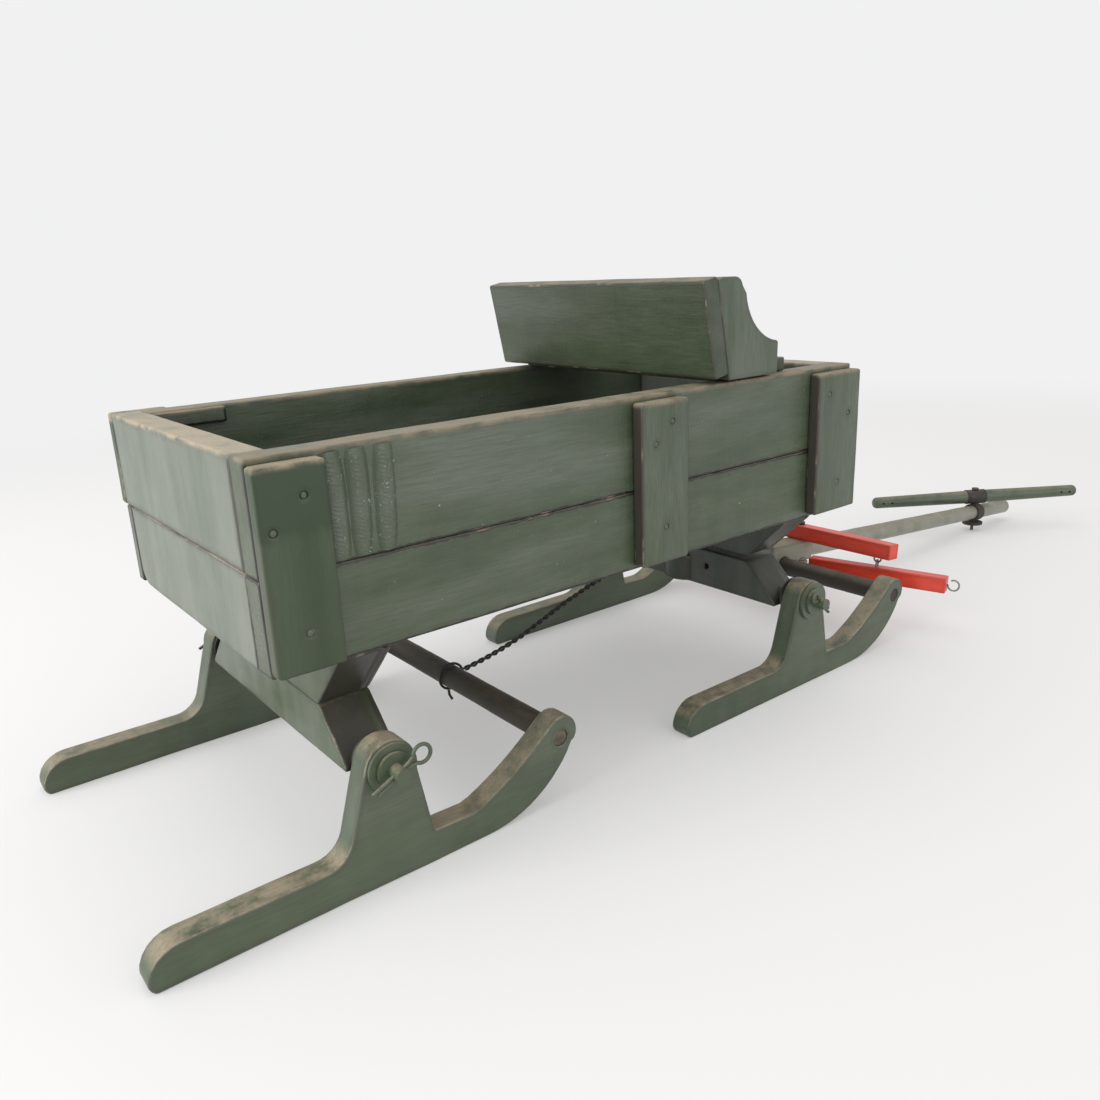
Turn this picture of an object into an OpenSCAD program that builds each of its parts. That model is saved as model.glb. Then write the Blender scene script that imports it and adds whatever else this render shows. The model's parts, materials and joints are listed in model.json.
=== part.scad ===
// Small horse-drawn bobsled wagon: a two-board box with a lift-off seat on a fixed
// rear bob and a steering front bob, drawn by a pole with evener, singletrees and yoke.
// Millimetres. +X runs forward to the pole, +Y is the sled's left side, +Z is up.
// The origin is the middle of the whole sled's footprint, on the floor.

/* [Box] */
// Outside length of the box
box_l = 552; // [520:1:560]
// Outside width over the side boards
box_w = 266; // [262:1:276]
// Height of the upper boards
upper_h = 70; // [60:1:80]
// Height of the lower boards
lower_h = 60; // [50:1:70]
// Thickness of the side boards
side_t = 21; // [18:1:22]
// Thickness of the end boards
end_t = 22; // [18:1:24]
// Thickness of the floor boards
floor_t = 10; // [8:1:14]
// Thickness of the battens
batten_t = 11; // [8:1:12]

/* [Seat] */
// Height of the seat back
seat_back_h = 75; // [60:1:90]
// Width over the seat's side panels
seat_w = 276; // [270:1:280]
// Backward lean of the seat back, in degrees
seat_lean = 10.7; // [6:0.1:14]

/* [Bobs] */
// Height of the box's underside above the floor
box_z = 155; // [155:1:165]
// Distance between the two axles
wheelbase = 428; // [424:1:430]
// Distance of the rear axle from the box's rear end
rear_axle_x = 62; // [60:1:66]
// Height of the axles
axle_z = 81; // [80:1:82]
// Width over the outer faces of the runners
gauge = 294; // [292:1:296]
// Thickness of the runners
runner_t = 19; // [17:1:20]
// Radius of the axle rods
rod_r = 5; // [4:0.5:5.5]
// Radius of the round crossbars
bar_r = 9.5; // [8:0.5:10]
// Thickness of the bolsters and beams, front to back
beam_t = 38; // [34:1:40]

/* [Pole and draught gear] */
// Length of the pole ahead of the front crossbar
pole_l = 524; // [500:1:540]
// Downward slope of the pole, in degrees
pole_dip = 4.9; // [4.8:0.1:5]
// Width and height of the evener and singletrees
tree_t = 16; // [14:1:17]
// Length of the evener
evener_l = 236; // [220:1:240]
// Length of a singletree
single_l = 141; // [130:1:146]
// Forward swing of the singletrees, in degrees
single_swing = 19.5; // [10:0.5:20]
// Length of the neck yoke
yoke_l = 293; // [280:1:293]
// Angle of the neck yoke from the pole, in degrees
yoke_turn = -33; // [-40:1:-25]

/* [Hidden] */
$fn = 48;

green = "#56654f";
dark_green = "#3d4a3b";
red = "#b8301f";
iron = "#2b2a27";
leather = "#2a241f";
tan = "#8c7b5e";
rust = "#6d4a3c";

box_top = box_z + lower_h + upper_h;
seam_z = box_z + lower_h;
half_w = box_w / 2;
inner_w = half_w - side_t;
front_axle_x = rear_axle_x + wheelbase;
mid_x = 545;

// Box joinery
lap = 12;
left_lap_y = half_w - lap;
batten_gap = 4;
batten_z = [box_z + 3, box_top - batten_gap];
rear_batten_x = [0, 43];
middle_batten_x = [286, 334];
front_batten_x = [494, 552];
nail_r = 2.4;
nail_l = 20;
nail_sink = 1;
nail_rows = [[8, 244], [28, 262], [22, 182], [300, 250], [317, 265], [310, 186],
             [508, 263], [536, 244], [524, 184]];

// Bolsters, beams and the kingpin
beam_bottom = 72.5;
beam_top = 109.5;
bolster_gap = 5;
bolster_bottom = beam_top + bolster_gap;
waist_half = 88;
beam_half = 124;
bolster_half = 131;
kingpin_r = 4;
play = 0.05;
block_r = 21.3;
block_back = 12;
block_h = 26;

// Runners: the outline is measured from the axle and the floor
foot_h = 26;
heel_c = [-138, 5];
hub_r = 18;
nose_c = [137.5, 54];
nose_r = 13.5;
bar_at = [136, 51];
tenon_r = 6.5;
runner_in = gauge / 2 - runner_t;
washer_r = [16, 17, 12];
washer_t = 2.4;

// Wire link: from the rear crossbar up to the kingpin
strand_r = 1.2;
strand_sides = 8;
strand_y = 1.35;
link_route = [[212, 53], [238, 57], [266, 63.5], [292, 72], [318, 81.5],
              [348, 91], [390, 101.5], [430, 108.5]];
link_eye = [[462, 112], [480, 112], [496, 112]];

// Pole, in its own frame: x forward along the pole from the front crossbar, z square to it
pole_rise = 12;
pole_r = [10.5, 9.5];
head_x = [-20, 50];
head_half = 12;
head_top = 24;
saddle_x = [-20, 44];
saddle_z = [-12, 1];
evener_x = 40;
evener_z = head_top + 0.4;
tree_drop = 12;
tree_ahead = 4;
tree_y = 98;
bolt_r = 2.5;
eye_r = 4;
eye_wire_r = 0.9;
staple_rise = (tree_drop + 0.4) / 2 - eye_r + eye_wire_r;
hook_r = 5.4;
hook_wire_r = 0.85;
hook_stem = 9;
strap_t = 1.6;
strap_w = 16;
yoke_x = 1062;
yoke_z = 48;
yoke_r = [7.6, 8.8];
yoke_hole_r = 1.5;
yoke_holes = [12, 24];
band_t = 1;
band_w = 26;
pin_r = 2;

// Seat
seat_back_foot = [370, 289];
seat_t = 15;
panel_t = 16;
plank_t = 12;
plank_x = [386, 474];
panel_z = box_top + 2;
panel_front = 444;
panel_top = 364.5;
scoop_c = [449, 358];
scoop_r = 45;

function arc(c, r, a0, a1, n) = [for (i = [0:n]) let (a = a0 + (a1 - a0) * i / n) c + r * [cos(a), sin(a)]];

module sled() { translate([-mid_x, 0, 0]) children(); }

// A block given by its low and high corners
module block(lo, hi) { translate(lo) cube(hi - lo); }

// A round bar between two points
module bar(a, b, r) {
  d = b - a;
  translate(a)
    rotate([0, acos(d.z / norm(d)), atan2(d.y, d.x)])
      cylinder(r = r, h = norm(d));
}

// A round bar along Y between two distances
module cross_bar(x, z, y0, y1, r) {
  translate([x, y0, z]) rotate([-90, 0, 0]) cylinder(r = r, h = y1 - y0);
}

// A flat profile drawn in X and Z, standing from y0 to y1
module upright(y0, y1) {
  translate([0, y1, 0]) rotate([90, 0, 0]) linear_extrude(y1 - y0) children();
}

module both_sides() {
  children();
  mirror([0, 1, 0]) children();
}

// ---- box -------------------------------------------------------------------

module nail_bores(side) {
  for (n = nail_rows)
    translate([n.x, side * (half_w + batten_t - nail_sink), n.y])
      rotate([side * 90, 0, 0])
        translate([0, 0, -1]) cylinder(r = nail_r, h = nail_l + 1, $fn = 24);
}

module side_board(side, z0, z1, x0 = 0) {
  y = [side * inner_w, side * half_w];
  difference() {
    block([x0, min(y), z0], [box_l, max(y), z1]);
    nail_bores(side);
  }
}

module right_upper_side_board() { color(green) sled() side_board(-1, seam_z + 0.3, box_top); }
module right_lower_side_board() { color(green) sled() side_board(-1, box_z, seam_z); }
module left_upper_side_board() { color(green) sled() side_board(1, seam_z + 0.3, box_top, end_t); }
module left_lower_side_board() {
  color(green) sled() difference() {
    side_board(1, box_z, seam_z);
    block([-1, inner_w - 1, box_z - 1], [end_t, left_lap_y, seam_z + 1]);
  }
}

module rear_upper_end_board() {
  color(green) sled() difference() {
    block([0, -inner_w, seam_z + 0.3], [end_t, half_w, box_top]);
    nail_bores(1);
  }
}
module rear_lower_end_board() {
  corner = 14;
  color(green) sled() translate([end_t, 0, 0]) rotate([0, -90, 0]) linear_extrude(end_t)
    polygon(concat([[box_z, -inner_w], [seam_z, -inner_w], [seam_z, left_lap_y]],
                   arc([box_z + corner, left_lap_y - corner], corner, 90, 180, 6)));
}
module front_upper_end_board() {
  color(green) sled() block([box_l - end_t, -inner_w, seam_z + 0.3], [box_l, inner_w, box_top]);
}
module front_lower_end_board() {
  color(green) sled() block([box_l - end_t, -inner_w, box_z], [box_l, inner_w, seam_z]);
}

module floor_boards() {
  third = 2 * inner_w / 3;
  color(dark_green) sled() difference() {
    for (i = [0:2])
      block([end_t, -inner_w + i * third + 0.4, box_z],
            [box_l - end_t, -inner_w + (i + 1) * third - 0.4, box_z + floor_t]);
    translate([front_axle_x, 0, box_z - 1]) cylinder(r = kingpin_r, h = floor_t + 2);
  }
}

module batten(side, xs, zs) {
  y = [side * half_w, side * (half_w + batten_t)];
  difference() {
    block([xs[0], min(y), zs[0]], [xs[1], max(y), zs[1]]);
    nail_bores(side);
  }
}

module right_rear_batten() { color(green) sled() batten(-1, rear_batten_x, batten_z); }
module right_middle_batten() { color(green) sled() batten(-1, middle_batten_x, batten_z); }
module right_front_batten() { color(green) sled() batten(-1, front_batten_x, batten_z); }
module left_rear_batten() { color(green) sled() batten(1, rear_batten_x, [seam_z, box_top]); }
module left_middle_batten() { color(green) sled() batten(1, middle_batten_x, batten_z); }
module left_front_batten() { color(green) sled() batten(1, front_batten_x, batten_z); }

module left_corner_cleat() {
  color(green) sled() block([end_t, inner_w - 5, box_top - 13], [end_t + 56, inner_w, box_top - 1]);
}

module batten_nails() {
  color(iron) sled()
    for (side = [-1, 1], n = nail_rows)
      if (side == -1 || n.y > seam_z || n.x > rear_batten_x[1])
        translate([n.x, side * (half_w + batten_t - nail_sink), n.y])
          rotate([side * 90, 0, 0]) cylinder(r = nail_r, h = nail_l, $fn = 24);
}

// ---- seat ------------------------------------------------------------------

module seat_back() {
  color(green) sled()
    translate([seat_back_foot.x, -seat_w / 2, seat_back_foot.y]) rotate([0, -seat_lean, 0])
      cube([seat_t, seat_w, seat_back_h]);
}

module seat_plank() {
  half = seat_w / 2 - panel_t;
  color(green) sled() block([plank_x[0], -half, box_top + 0.3], [plank_x[1], half, box_top + plank_t]);
}

// Side panel: a straight leaning rear edge, a rounded head and a scooped front
module panel_outline() {
  rear = function (z) seat_back_foot.x + seat_t / cos(seat_lean) - (z - seat_back_foot.y) * tan(seat_lean);
  polygon(concat(
    [[rear(panel_z), panel_z], [panel_front, panel_z]],
    arc(scoop_c, scoop_r, 264, 188, 10),
    arc([392, panel_top - 8], 8, 10, 90, 5),
    [[rear(panel_top - 2) + 6, panel_top], [rear(panel_top - 2), panel_top - 2]]));
}
module seat_right_panel() {
  color(green) sled() upright(-seat_w / 2, -seat_w / 2 + panel_t) panel_outline();
}
module seat_left_panel() {
  color(green) sled() upright(seat_w / 2 - panel_t, seat_w / 2) panel_outline();
}

// ---- bolsters, beams and axles ---------------------------------------------

module trapezoid(x, half0, z0, half1, z1) {
  translate([x - beam_t / 2, 0, 0]) rotate([90, 0, 90]) linear_extrude(beam_t)
    polygon([[-half0, z0], [half0, z0], [half1, z1], [-half1, z1]]);
}

module rod_bore(x) { cross_bar(x, axle_z, -gauge, gauge, rod_r); }

module rear_bolster() {
  color(green) sled() trapezoid(rear_axle_x, waist_half, beam_top + 0.3, bolster_half, box_z);
}
module rear_beam() {
  color(green) sled() difference() {
    trapezoid(rear_axle_x, beam_half, beam_bottom, waist_half, beam_top);
    rod_bore(rear_axle_x);
  }
}
module front_bolster() {
  color(dark_green) sled() difference() {
    trapezoid(front_axle_x, waist_half, bolster_bottom, bolster_half, box_z);
    translate([front_axle_x, 0, beam_bottom]) cylinder(r = kingpin_r, h = box_z);
  }
}
// The kingpin's nut sits in a round recess in the beam's underside
recess_r = 10.6;
recess_h = 10;
module front_beam() {
  color(dark_green) sled() difference() {
    trapezoid(front_axle_x, beam_half, beam_bottom, waist_half, beam_top);
    rod_bore(front_axle_x);
    translate([front_axle_x, 0, beam_bottom - 1]) cylinder(r = kingpin_r + play, h = beam_top);
    translate([front_axle_x, 0, beam_bottom - 1]) cylinder(r = recess_r, h = recess_h + 1);
    translate([front_axle_x - beam_t, -38, 93]) rotate([0, 90, 0]) cylinder(r = 3, h = beam_t, $fn = 32);
  }
}
module kingpin_block() {
  color(dark_green) sled() difference() {
    translate([front_axle_x - beam_t / 2 + block_back, 0, beam_bottom + 1])
      cylinder(r = block_r, h = block_h);
    translate([front_axle_x - beam_t / 2, -block_r - 1, 0]) cube([2 * block_r, 2 * block_r + 2, box_z]);
  }
}
module kingpin() {
  head_h = 4;
  color(iron) sled() translate([front_axle_x, 0, 0]) {
    translate([0, 0, beam_bottom + 0.6]) cylinder(r = kingpin_r, h = box_z + floor_t - beam_bottom - 0.6);
    translate([0, 0, box_z + floor_t]) cylinder(r = 2 * kingpin_r, h = head_h);
  }
}
module kingpin_nut() {
  nut_h = 8;
  color(iron) sled() translate([front_axle_x, 0, beam_bottom + recess_h - 0.4 - nut_h]) difference() {
    union() {
      cylinder(r = 8, h = nut_h - 2, $fn = 6);
      translate([0, 0, nut_h - 2]) cylinder(r = 10, h = 2);
    }
    translate([0, 0, -1]) cylinder(r = kingpin_r, h = nut_h + 2);
  }
}

// The front rod is in two lengths, so that the kingpin passes between them
rod_end = gauge / 2 + 16;
pin_y = gauge / 2 + 10.5;
pin_wire_r = 1.6;
rear_pin_tilt = 25;
front_pin_tilt = 140;
module rod_half(x, y0, tilt) {
  difference() {
    cross_bar(x, axle_z, y0, rod_end, rod_r);
    translate([x, pin_y, axle_z]) pin_bore(tilt);
  }
}
module pin_bore(tilt) {
  rotate([0, 90 - tilt, 0]) cylinder(r = pin_wire_r, h = 40, center = true);
}
module rear_axle_rod() {
  color(iron) sled() both_sides() rod_half(rear_axle_x, 0, rear_pin_tilt);
}
module front_axle_rod() {
  color(iron) sled() both_sides() rod_half(front_axle_x, 3 * kingpin_r, front_pin_tilt);
}
module washer_pair(x, r, y) {
  both_sides() difference() {
    cross_bar(x, axle_z, y, y + washer_t, r);
    cross_bar(x, axle_z, y - 1, y + washer_t + 1, rod_r);
  }
}
inner_washer_y = beam_half + 0.4;
large_washer_y = gauge / 2 + 0.5;
small_washer_y = large_washer_y + washer_t + 0.3;
module rear_inner_washers() { color(iron) sled() washer_pair(rear_axle_x, washer_r[0], inner_washer_y); }
module rear_large_washers() { color(green) sled() washer_pair(rear_axle_x, washer_r[1], large_washer_y); }
module rear_small_washers() { color(green) sled() washer_pair(rear_axle_x, washer_r[2], small_washer_y); }
module front_inner_washers() { color(iron) sled() washer_pair(front_axle_x, washer_r[0], inner_washer_y); }
module front_large_washers() { color(green) sled() washer_pair(front_axle_x, washer_r[1], large_washer_y); }
module front_small_washers() { color(green) sled() washer_pair(front_axle_x, washer_r[2], small_washer_y); }

// Cotter pin: a straight double shank with a round eye, set across the rod
module cotter(x, tilt, shank, neck, eye) {
  translate([x, pin_y, axle_z]) rotate([0, -tilt, 0]) {
    translate([-shank, 0, 0]) rotate([0, 90, 0]) cylinder(r = pin_wire_r, h = shank + neck);
    translate([neck + eye, 0, 0]) rotate([90, 0, 0]) rotate_extrude()
      translate([eye, 0]) circle(r = pin_wire_r, $fn = 16);
  }
}
module rear_cotter_pins() {
  color(iron) sled() both_sides() cotter(rear_axle_x, rear_pin_tilt, 21, 12, 6.5);
}
module front_cotter_pins() {
  color(iron) sled() both_sides() cotter(front_axle_x, front_pin_tilt, 16, 7, 3.6);
}

// ---- runners ---------------------------------------------------------------

module runner_outline() {
  polygon(concat(
    [[heel_c.x - 18, 0]],
    arc(heel_c, foot_h - heel_c.y, 180, 90, 6),
    arc([-50, foot_h + 20], 20, 270, 340, 6),
    arc([0, axle_z], hub_r, 165, -10, 16),
    [[27, 23], [58, 22.5]],
    arc([-31, 249], 244, 293, 308, 6),
    arc(nose_c, nose_r, 130, -35, 10),
    arc([69, 88], 88, -29, -90, 12)));
}
module runner(x, side) {
  y = [side * runner_in, side * gauge / 2];
  translate([x, 0, 0]) difference() {
    upright(min(y), max(y)) runner_outline();
    cross_bar(0, axle_z, -gauge, gauge, rod_r + play);
    cross_bar(bar_at.x, bar_at.y, -gauge, gauge, tenon_r + play);
  }
}
module crossbar(x) {
  translate([x + bar_at.x, 0, bar_at.y]) {
    cross_bar(0, 0, -runner_in + 0.2, runner_in - 0.2, bar_r);
    both_sides() cross_bar(0, 0, runner_in - 1, gauge / 2 - 1, tenon_r);
  }
}
module rear_right_runner() { color(green) sled() runner(rear_axle_x, -1); }
module rear_left_runner() { color(green) sled() runner(rear_axle_x, 1); }
module front_right_runner() { color(green) sled() runner(front_axle_x, -1); }
module front_left_runner() { color(green) sled() runner(front_axle_x, 1); }
module rear_crossbar() { color(dark_green) sled() crossbar(rear_axle_x); }
module front_crossbar() { color(dark_green) sled() crossbar(front_axle_x); }

// ---- wire link -------------------------------------------------------------

function unit(v) = v / norm(v);
function along(p) = [for (i = [0:len(p) - 1]) unit(p[min(i + 1, len(p) - 1)] - p[max(i - 1, 0)])];
function carried(t, u, i = 0) =
  i == len(t) ? [] : let (w = unit(u - (u * t[i]) * t[i])) concat([w], carried(t, w, i + 1));

// A wire of one radius swept through its points
module wire(points, r, n) {
  t = along(points);
  u = carried(t, [0, 1, 0]);
  last = len(points) - 1;
  ring = function (i) [for (k = [0:n - 1]) let (a = 360 * k / n)
                       points[i] + r * (cos(a) * u[i] + sin(a) * cross(t[i], u[i]))];
  polyhedron(
    [for (i = [0:last]) each ring(i)],
    concat([[for (k = [0:n - 1]) k]], [[for (k = [n - 1:-1:0]) last * n + k]],
           [for (i = [0:last - 1], k = [0:n - 1]) let (a = i * n + k, b = i * n + (k + 1) % n)
            each [[a, a + n, b], [b, a + n, b + n]]]));
}

// One wire folded double: it hooks round the crossbar at both ends, runs forward as
// two strands and closes in a long eye round the kingpin
module wire_link() {
  eye_half = kingpin_r + 1 + strand_r;
  hook = bar_r + 0.3 + strand_r;
  centre = [rear_axle_x + bar_at.x, bar_at.y];
  hooked = function (side, angles)
    [for (a = angles) [centre.x + hook * cos(a), side * strand_y, centre.y + hook * sin(a)]];
  strand = function (side) [for (p = link_route) [p.x, side * strand_y, p.y]];
  spread = [strand_y, eye_half, eye_half];
  eye_side = function (side) [for (i = [0:2]) [link_eye[i].x, side * spread[i], link_eye[i].y]];
  bend = [for (a = [-60:30:60]) [link_eye[2].x + eye_half * cos(a), eye_half * sin(a), link_eye[2].y]];
  back = function (p) [for (i = [len(p) - 1:-1:0]) p[i]];
  color(iron) sled()
    wire(concat(hooked(-1, [200:-22.5:65]), strand(-1), eye_side(-1), bend,
                back(eye_side(1)), back(strand(1)), hooked(1, [-45:-22.5:-135])),
         strand_r, strand_sides);
}

// ---- pole and what rides on it ---------------------------------------------

module on_pole() {
  sled() translate([front_axle_x + bar_at.x, 0, bar_at.y]) rotate([0, pole_dip, 0]) children();
}
module pole_pin_bore(r) {
  sled() translate([yoke_x, 0, 0]) cylinder(r = r, h = yoke_z + 20);
}
module pole() {
  color(green) difference() {
    on_pole() {
      block([head_x[0], -head_half, saddle_z[1] + 0.3], [head_x[1], head_half, head_top]);
      translate([head_x[1] - 5, 0, pole_rise]) rotate([0, 90, 0])
        cylinder(r1 = pole_r[0], r2 = pole_r[1], h = pole_l - head_x[1] + 5);
    }
    on_pole() {
      cross_bar(0, 0, -20, 20, bar_r + 0.08);
      translate([evener_x, 0, -20]) cylinder(r = bolt_r, h = 60, $fn = 32);
    }
    pole_pin_bore(pin_r);
  }
}
saddle_nail_x = [-14, 32];
module pole_saddle() {
  color(tan) on_pole() difference() {
    block([saddle_x[0], -head_half, saddle_z[0]], [saddle_x[1], head_half, saddle_z[1]]);
    cross_bar(0, 0, -20, 20, bar_r + 0.08);
    translate([evener_x, 0, -20]) cylinder(r = bolt_r, h = 60, $fn = 32);
    for (x = saddle_nail_x) translate([x, 0, saddle_z[0] - 1]) cylinder(r = 1.5, h = 8, $fn = 24);
  }
}
module saddle_nails() {
  color(iron) on_pole()
    for (x = saddle_nail_x) translate([x, 0, saddle_z[0] - 0.6]) cylinder(r = 1.5, h = 7, $fn = 24);
}
module evener_bolt() {
  color(iron) on_pole() translate([evener_x, 0, saddle_z[0]]) {
    cylinder(r = bolt_r, h = evener_z + tree_t - saddle_z[0] + 2, $fn = 32);
    translate([0, 0, evener_z + tree_t - saddle_z[0] + 0.4]) cylinder(r = 5, h = 3, $fn = 32);
  }
}
strap_x = (yoke_x - front_axle_x - bar_at.x) / cos(pole_dip);
module pole_strap() {
  inner = pole_r[1] + 0.75;
  color(leather) difference() {
    on_pole() translate([strap_x - strap_w / 2, 0, pole_rise]) rotate([0, 90, 0]) difference() {
      cylinder(r = inner + strap_t, h = strap_w);
      translate([0, 0, -1]) cylinder(r = inner, h = strap_w + 2);
    }
    pole_pin_bore(pin_r);
  }
}
module yoke_pin() {
  color(rust) sled() translate([yoke_x, 0, 0]) {
    cylinder(r = pin_r, h = yoke_z + yoke_r[1] + 3);
    translate([0, 0, yoke_z + yoke_r[1] + band_t + 0.4]) cylinder(r = 4.5, h = 2);
  }
}
module pin_washer() {
  color(leather) sled() translate([yoke_x, 0, 9.2]) difference() {
    cylinder(r = 13, h = 3);
    translate([0, 0, -1]) cylinder(r = pin_r, h = 5);
  }
}

module evener() {
  color(red) on_pole() difference() {
    block([evener_x - tree_t / 2, -evener_l / 2, evener_z],
          [evener_x + tree_t / 2, evener_l / 2, evener_z + tree_t]);
    translate([evener_x, 0, 0]) cylinder(r = bolt_r + play, h = 60, $fn = 32);
    both_sides() for (y = [-eye_r, eye_r])
      translate([evener_x + tree_ahead, tree_y + y, evener_z - 1]) cylinder(r = eye_wire_r, h = 7, $fn = 16);
  }
}
// A staple: two legs, and a round crown above them
module staple() {
  for (x = [-eye_r, eye_r]) translate([x, 0, -6]) cylinder(r = eye_wire_r, h = 6 + staple_rise, $fn = 16);
  translate([0, 0, staple_rise]) rotate([90, 0, 0])
    rotate_extrude(angle = 180) translate([eye_r, 0]) circle(r = eye_wire_r, $fn = 16);
}
module evener_staples() {
  color(iron) on_pole() both_sides()
    translate([evener_x + tree_ahead, tree_y, evener_z]) rotate([180, 0, 90]) staple();
}
tree_top = evener_z - tree_drop;
module on_tree(side) {
  on_pole() translate([evener_x + tree_ahead, side * tree_y, tree_top])
    rotate([0, 0, side * -single_swing]) children();
}
module singletree(side) {
  on_tree(side) difference() {
    translate([-tree_t / 2, -single_l / 2, -tree_t]) cube([tree_t, single_l, tree_t]);
    for (x = [-eye_r, eye_r]) translate([x, 0, -6]) cylinder(r = eye_wire_r, h = 7, $fn = 16);
    both_sides() translate([0, single_l / 2 - hook_stem + 3, -tree_t / 2]) rotate([-90, 0, 0])
      cylinder(r = hook_wire_r, h = hook_stem, $fn = 16);
  }
}
// The staple on top and the open hooks at both ends
module singletree_hooks(side) {
  on_tree(side) {
    staple();
    both_sides() translate([0, single_l / 2, -tree_t / 2]) {
      translate([0, 3 - hook_stem, 0]) rotate([-90, 0, 0])
        cylinder(r = hook_wire_r, h = hook_stem - 1.5, $fn = 16);
      translate([0, hook_r + 1.2, 0]) rotate([0, 90, 0]) rotate([0, 0, -90])
        rotate_extrude(angle = 300) translate([hook_r, 0]) circle(r = hook_wire_r, $fn = 16);
    }
  }
}
module right_singletree() { color(red) singletree(-1); }
module left_singletree() { color(red) singletree(1); }
module right_singletree_hooks() { color(iron) singletree_hooks(-1); }
module left_singletree_hooks() { color(iron) singletree_hooks(1); }

// Neck yoke, along its own x
module on_yoke() { sled() translate([yoke_x, 0, yoke_z]) rotate([0, 0, yoke_turn]) children(); }
module neck_yoke() {
  half = yoke_l / 2;
  round_end = 5;
  color(green) on_yoke() difference() {
    rotate([0, 90, 0]) rotate_extrude()
      polygon(concat([[0, -half]], arc([yoke_r[0] - round_end, -half + round_end], round_end, 270, 360, 5),
                     [[yoke_r[1], -band_w / 2 - 4], [yoke_r[1], band_w / 2 + 4]],
                     arc([yoke_r[0] - round_end, half - round_end], round_end, 0, 90, 5), [[0, half]]));
    for (end = [-1, 1], h = yoke_holes)
      translate([end * (half - h), 0, 0]) rotate([90, 0, 0])
        cylinder(r = yoke_hole_r, h = 40, center = true, $fn = 24);
    cylinder(r = pin_r + play, h = 40, center = true);
  }
}
module yoke_band() {
  color(iron) on_yoke() difference() {
    translate([-band_w / 2, 0, 0]) rotate([0, 90, 0]) cylinder(r = yoke_r[1] + band_t, h = band_w);
    translate([-band_w / 2 - 1, 0, 0]) rotate([0, 90, 0]) cylinder(r = yoke_r[1] + 0.02, h = band_w + 2);
    cylinder(r = pin_r + play, h = 40, center = true);
  }
}

right_upper_side_board();
right_lower_side_board();
left_upper_side_board();
left_lower_side_board();
rear_upper_end_board();
rear_lower_end_board();
front_upper_end_board();
front_lower_end_board();
floor_boards();
right_rear_batten();
right_middle_batten();
right_front_batten();
left_rear_batten();
left_middle_batten();
left_front_batten();
left_corner_cleat();
batten_nails();
rear_bolster();
rear_beam();
rear_axle_rod();
rear_inner_washers();
rear_large_washers();
rear_small_washers();
rear_cotter_pins();
front_bolster();
kingpin();
kingpin_nut();
front_beam();
kingpin_block();
front_axle_rod();
front_inner_washers();
front_large_washers();
front_small_washers();
front_cotter_pins();
rear_right_runner();
rear_left_runner();
rear_crossbar();
front_right_runner();
front_left_runner();
front_crossbar();
wire_link();
pole();
pole_saddle();
saddle_nails();
pole_strap();
yoke_pin();
pin_washer();
evener_bolt();
evener();
evener_staples();
right_singletree();
right_singletree_hooks();
left_singletree();
left_singletree_hooks();
neck_yoke();
yoke_band();
seat_back();
seat_plank();
seat_right_panel();
seat_left_panel();
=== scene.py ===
"""Looks of a small wooden bobsled wagon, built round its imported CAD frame.

Every sawn piece is rebuilt from the outline of its CAD node, with eased edges and a
hand-planed surface, and carries an attribute that tells its finish how close each spot
is to an edge. Wires, bars, nails and paint runs come from Geometry Nodes trees.
"""

from __future__ import annotations

import json
import logging
import math
from dataclasses import dataclass, field
from enum import Enum
from functools import partialmethod
from typing import Iterable, Sequence

import bmesh
import bpy
import numpy as np
from mathutils import Matrix, Vector, noise
from mathutils.geometry import delaunay_2d_cdt

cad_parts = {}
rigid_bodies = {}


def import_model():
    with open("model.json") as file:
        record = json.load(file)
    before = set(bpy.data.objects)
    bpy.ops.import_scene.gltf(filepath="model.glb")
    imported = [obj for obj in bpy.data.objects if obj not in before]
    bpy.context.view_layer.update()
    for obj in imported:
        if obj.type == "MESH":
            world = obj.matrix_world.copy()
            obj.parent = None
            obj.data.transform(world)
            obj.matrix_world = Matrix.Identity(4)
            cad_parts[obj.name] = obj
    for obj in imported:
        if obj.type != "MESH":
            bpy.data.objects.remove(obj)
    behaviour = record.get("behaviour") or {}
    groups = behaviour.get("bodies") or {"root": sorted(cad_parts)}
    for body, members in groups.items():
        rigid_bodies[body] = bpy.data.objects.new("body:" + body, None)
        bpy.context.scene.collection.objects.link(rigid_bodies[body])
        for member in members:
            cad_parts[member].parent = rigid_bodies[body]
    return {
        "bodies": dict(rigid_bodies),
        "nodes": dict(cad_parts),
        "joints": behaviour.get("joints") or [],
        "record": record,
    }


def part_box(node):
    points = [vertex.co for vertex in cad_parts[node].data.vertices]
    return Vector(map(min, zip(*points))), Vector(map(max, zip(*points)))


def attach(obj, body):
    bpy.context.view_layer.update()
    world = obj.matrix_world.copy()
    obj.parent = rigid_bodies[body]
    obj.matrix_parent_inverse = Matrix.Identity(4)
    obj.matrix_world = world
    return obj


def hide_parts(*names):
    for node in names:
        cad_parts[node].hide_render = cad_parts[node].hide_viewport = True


LOG = logging.getLogger("bobsled")

MM = 0.001
EDGE_ATTRIBUTE = "edge_near"
EDGE_REACH = 20 * MM
# Black of the painted shade in the gaps between parts.
GAP_SHADE_BLACK = (0.012, 0.011, 0.009)
FLAT_GAP = 2e-5
WELD_GAP = 2e-6
SHARP_TURN = 0.3
NEAR_BANDS = (1.2 * MM, 3 * MM)
BEAM_EASE = 1.5 * MM
RUN_STOPS = (0, 0.25, 0.5, 0.75, 1)
ROUND_SHARE = 0.29
SLOW_WAVES, QUICK_WAVES = 16.0, 75.0
SEED_STEP = Vector((3.7, 1.3, 2.1))
BAR_STATIONS, BAR_SIDES, WIRE_SIDES, RUN_SIDES = 160, 40, 10, 28
POLE_DIP = math.radians(4.9)
TREE_SWING = math.radians(19.5)

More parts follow.
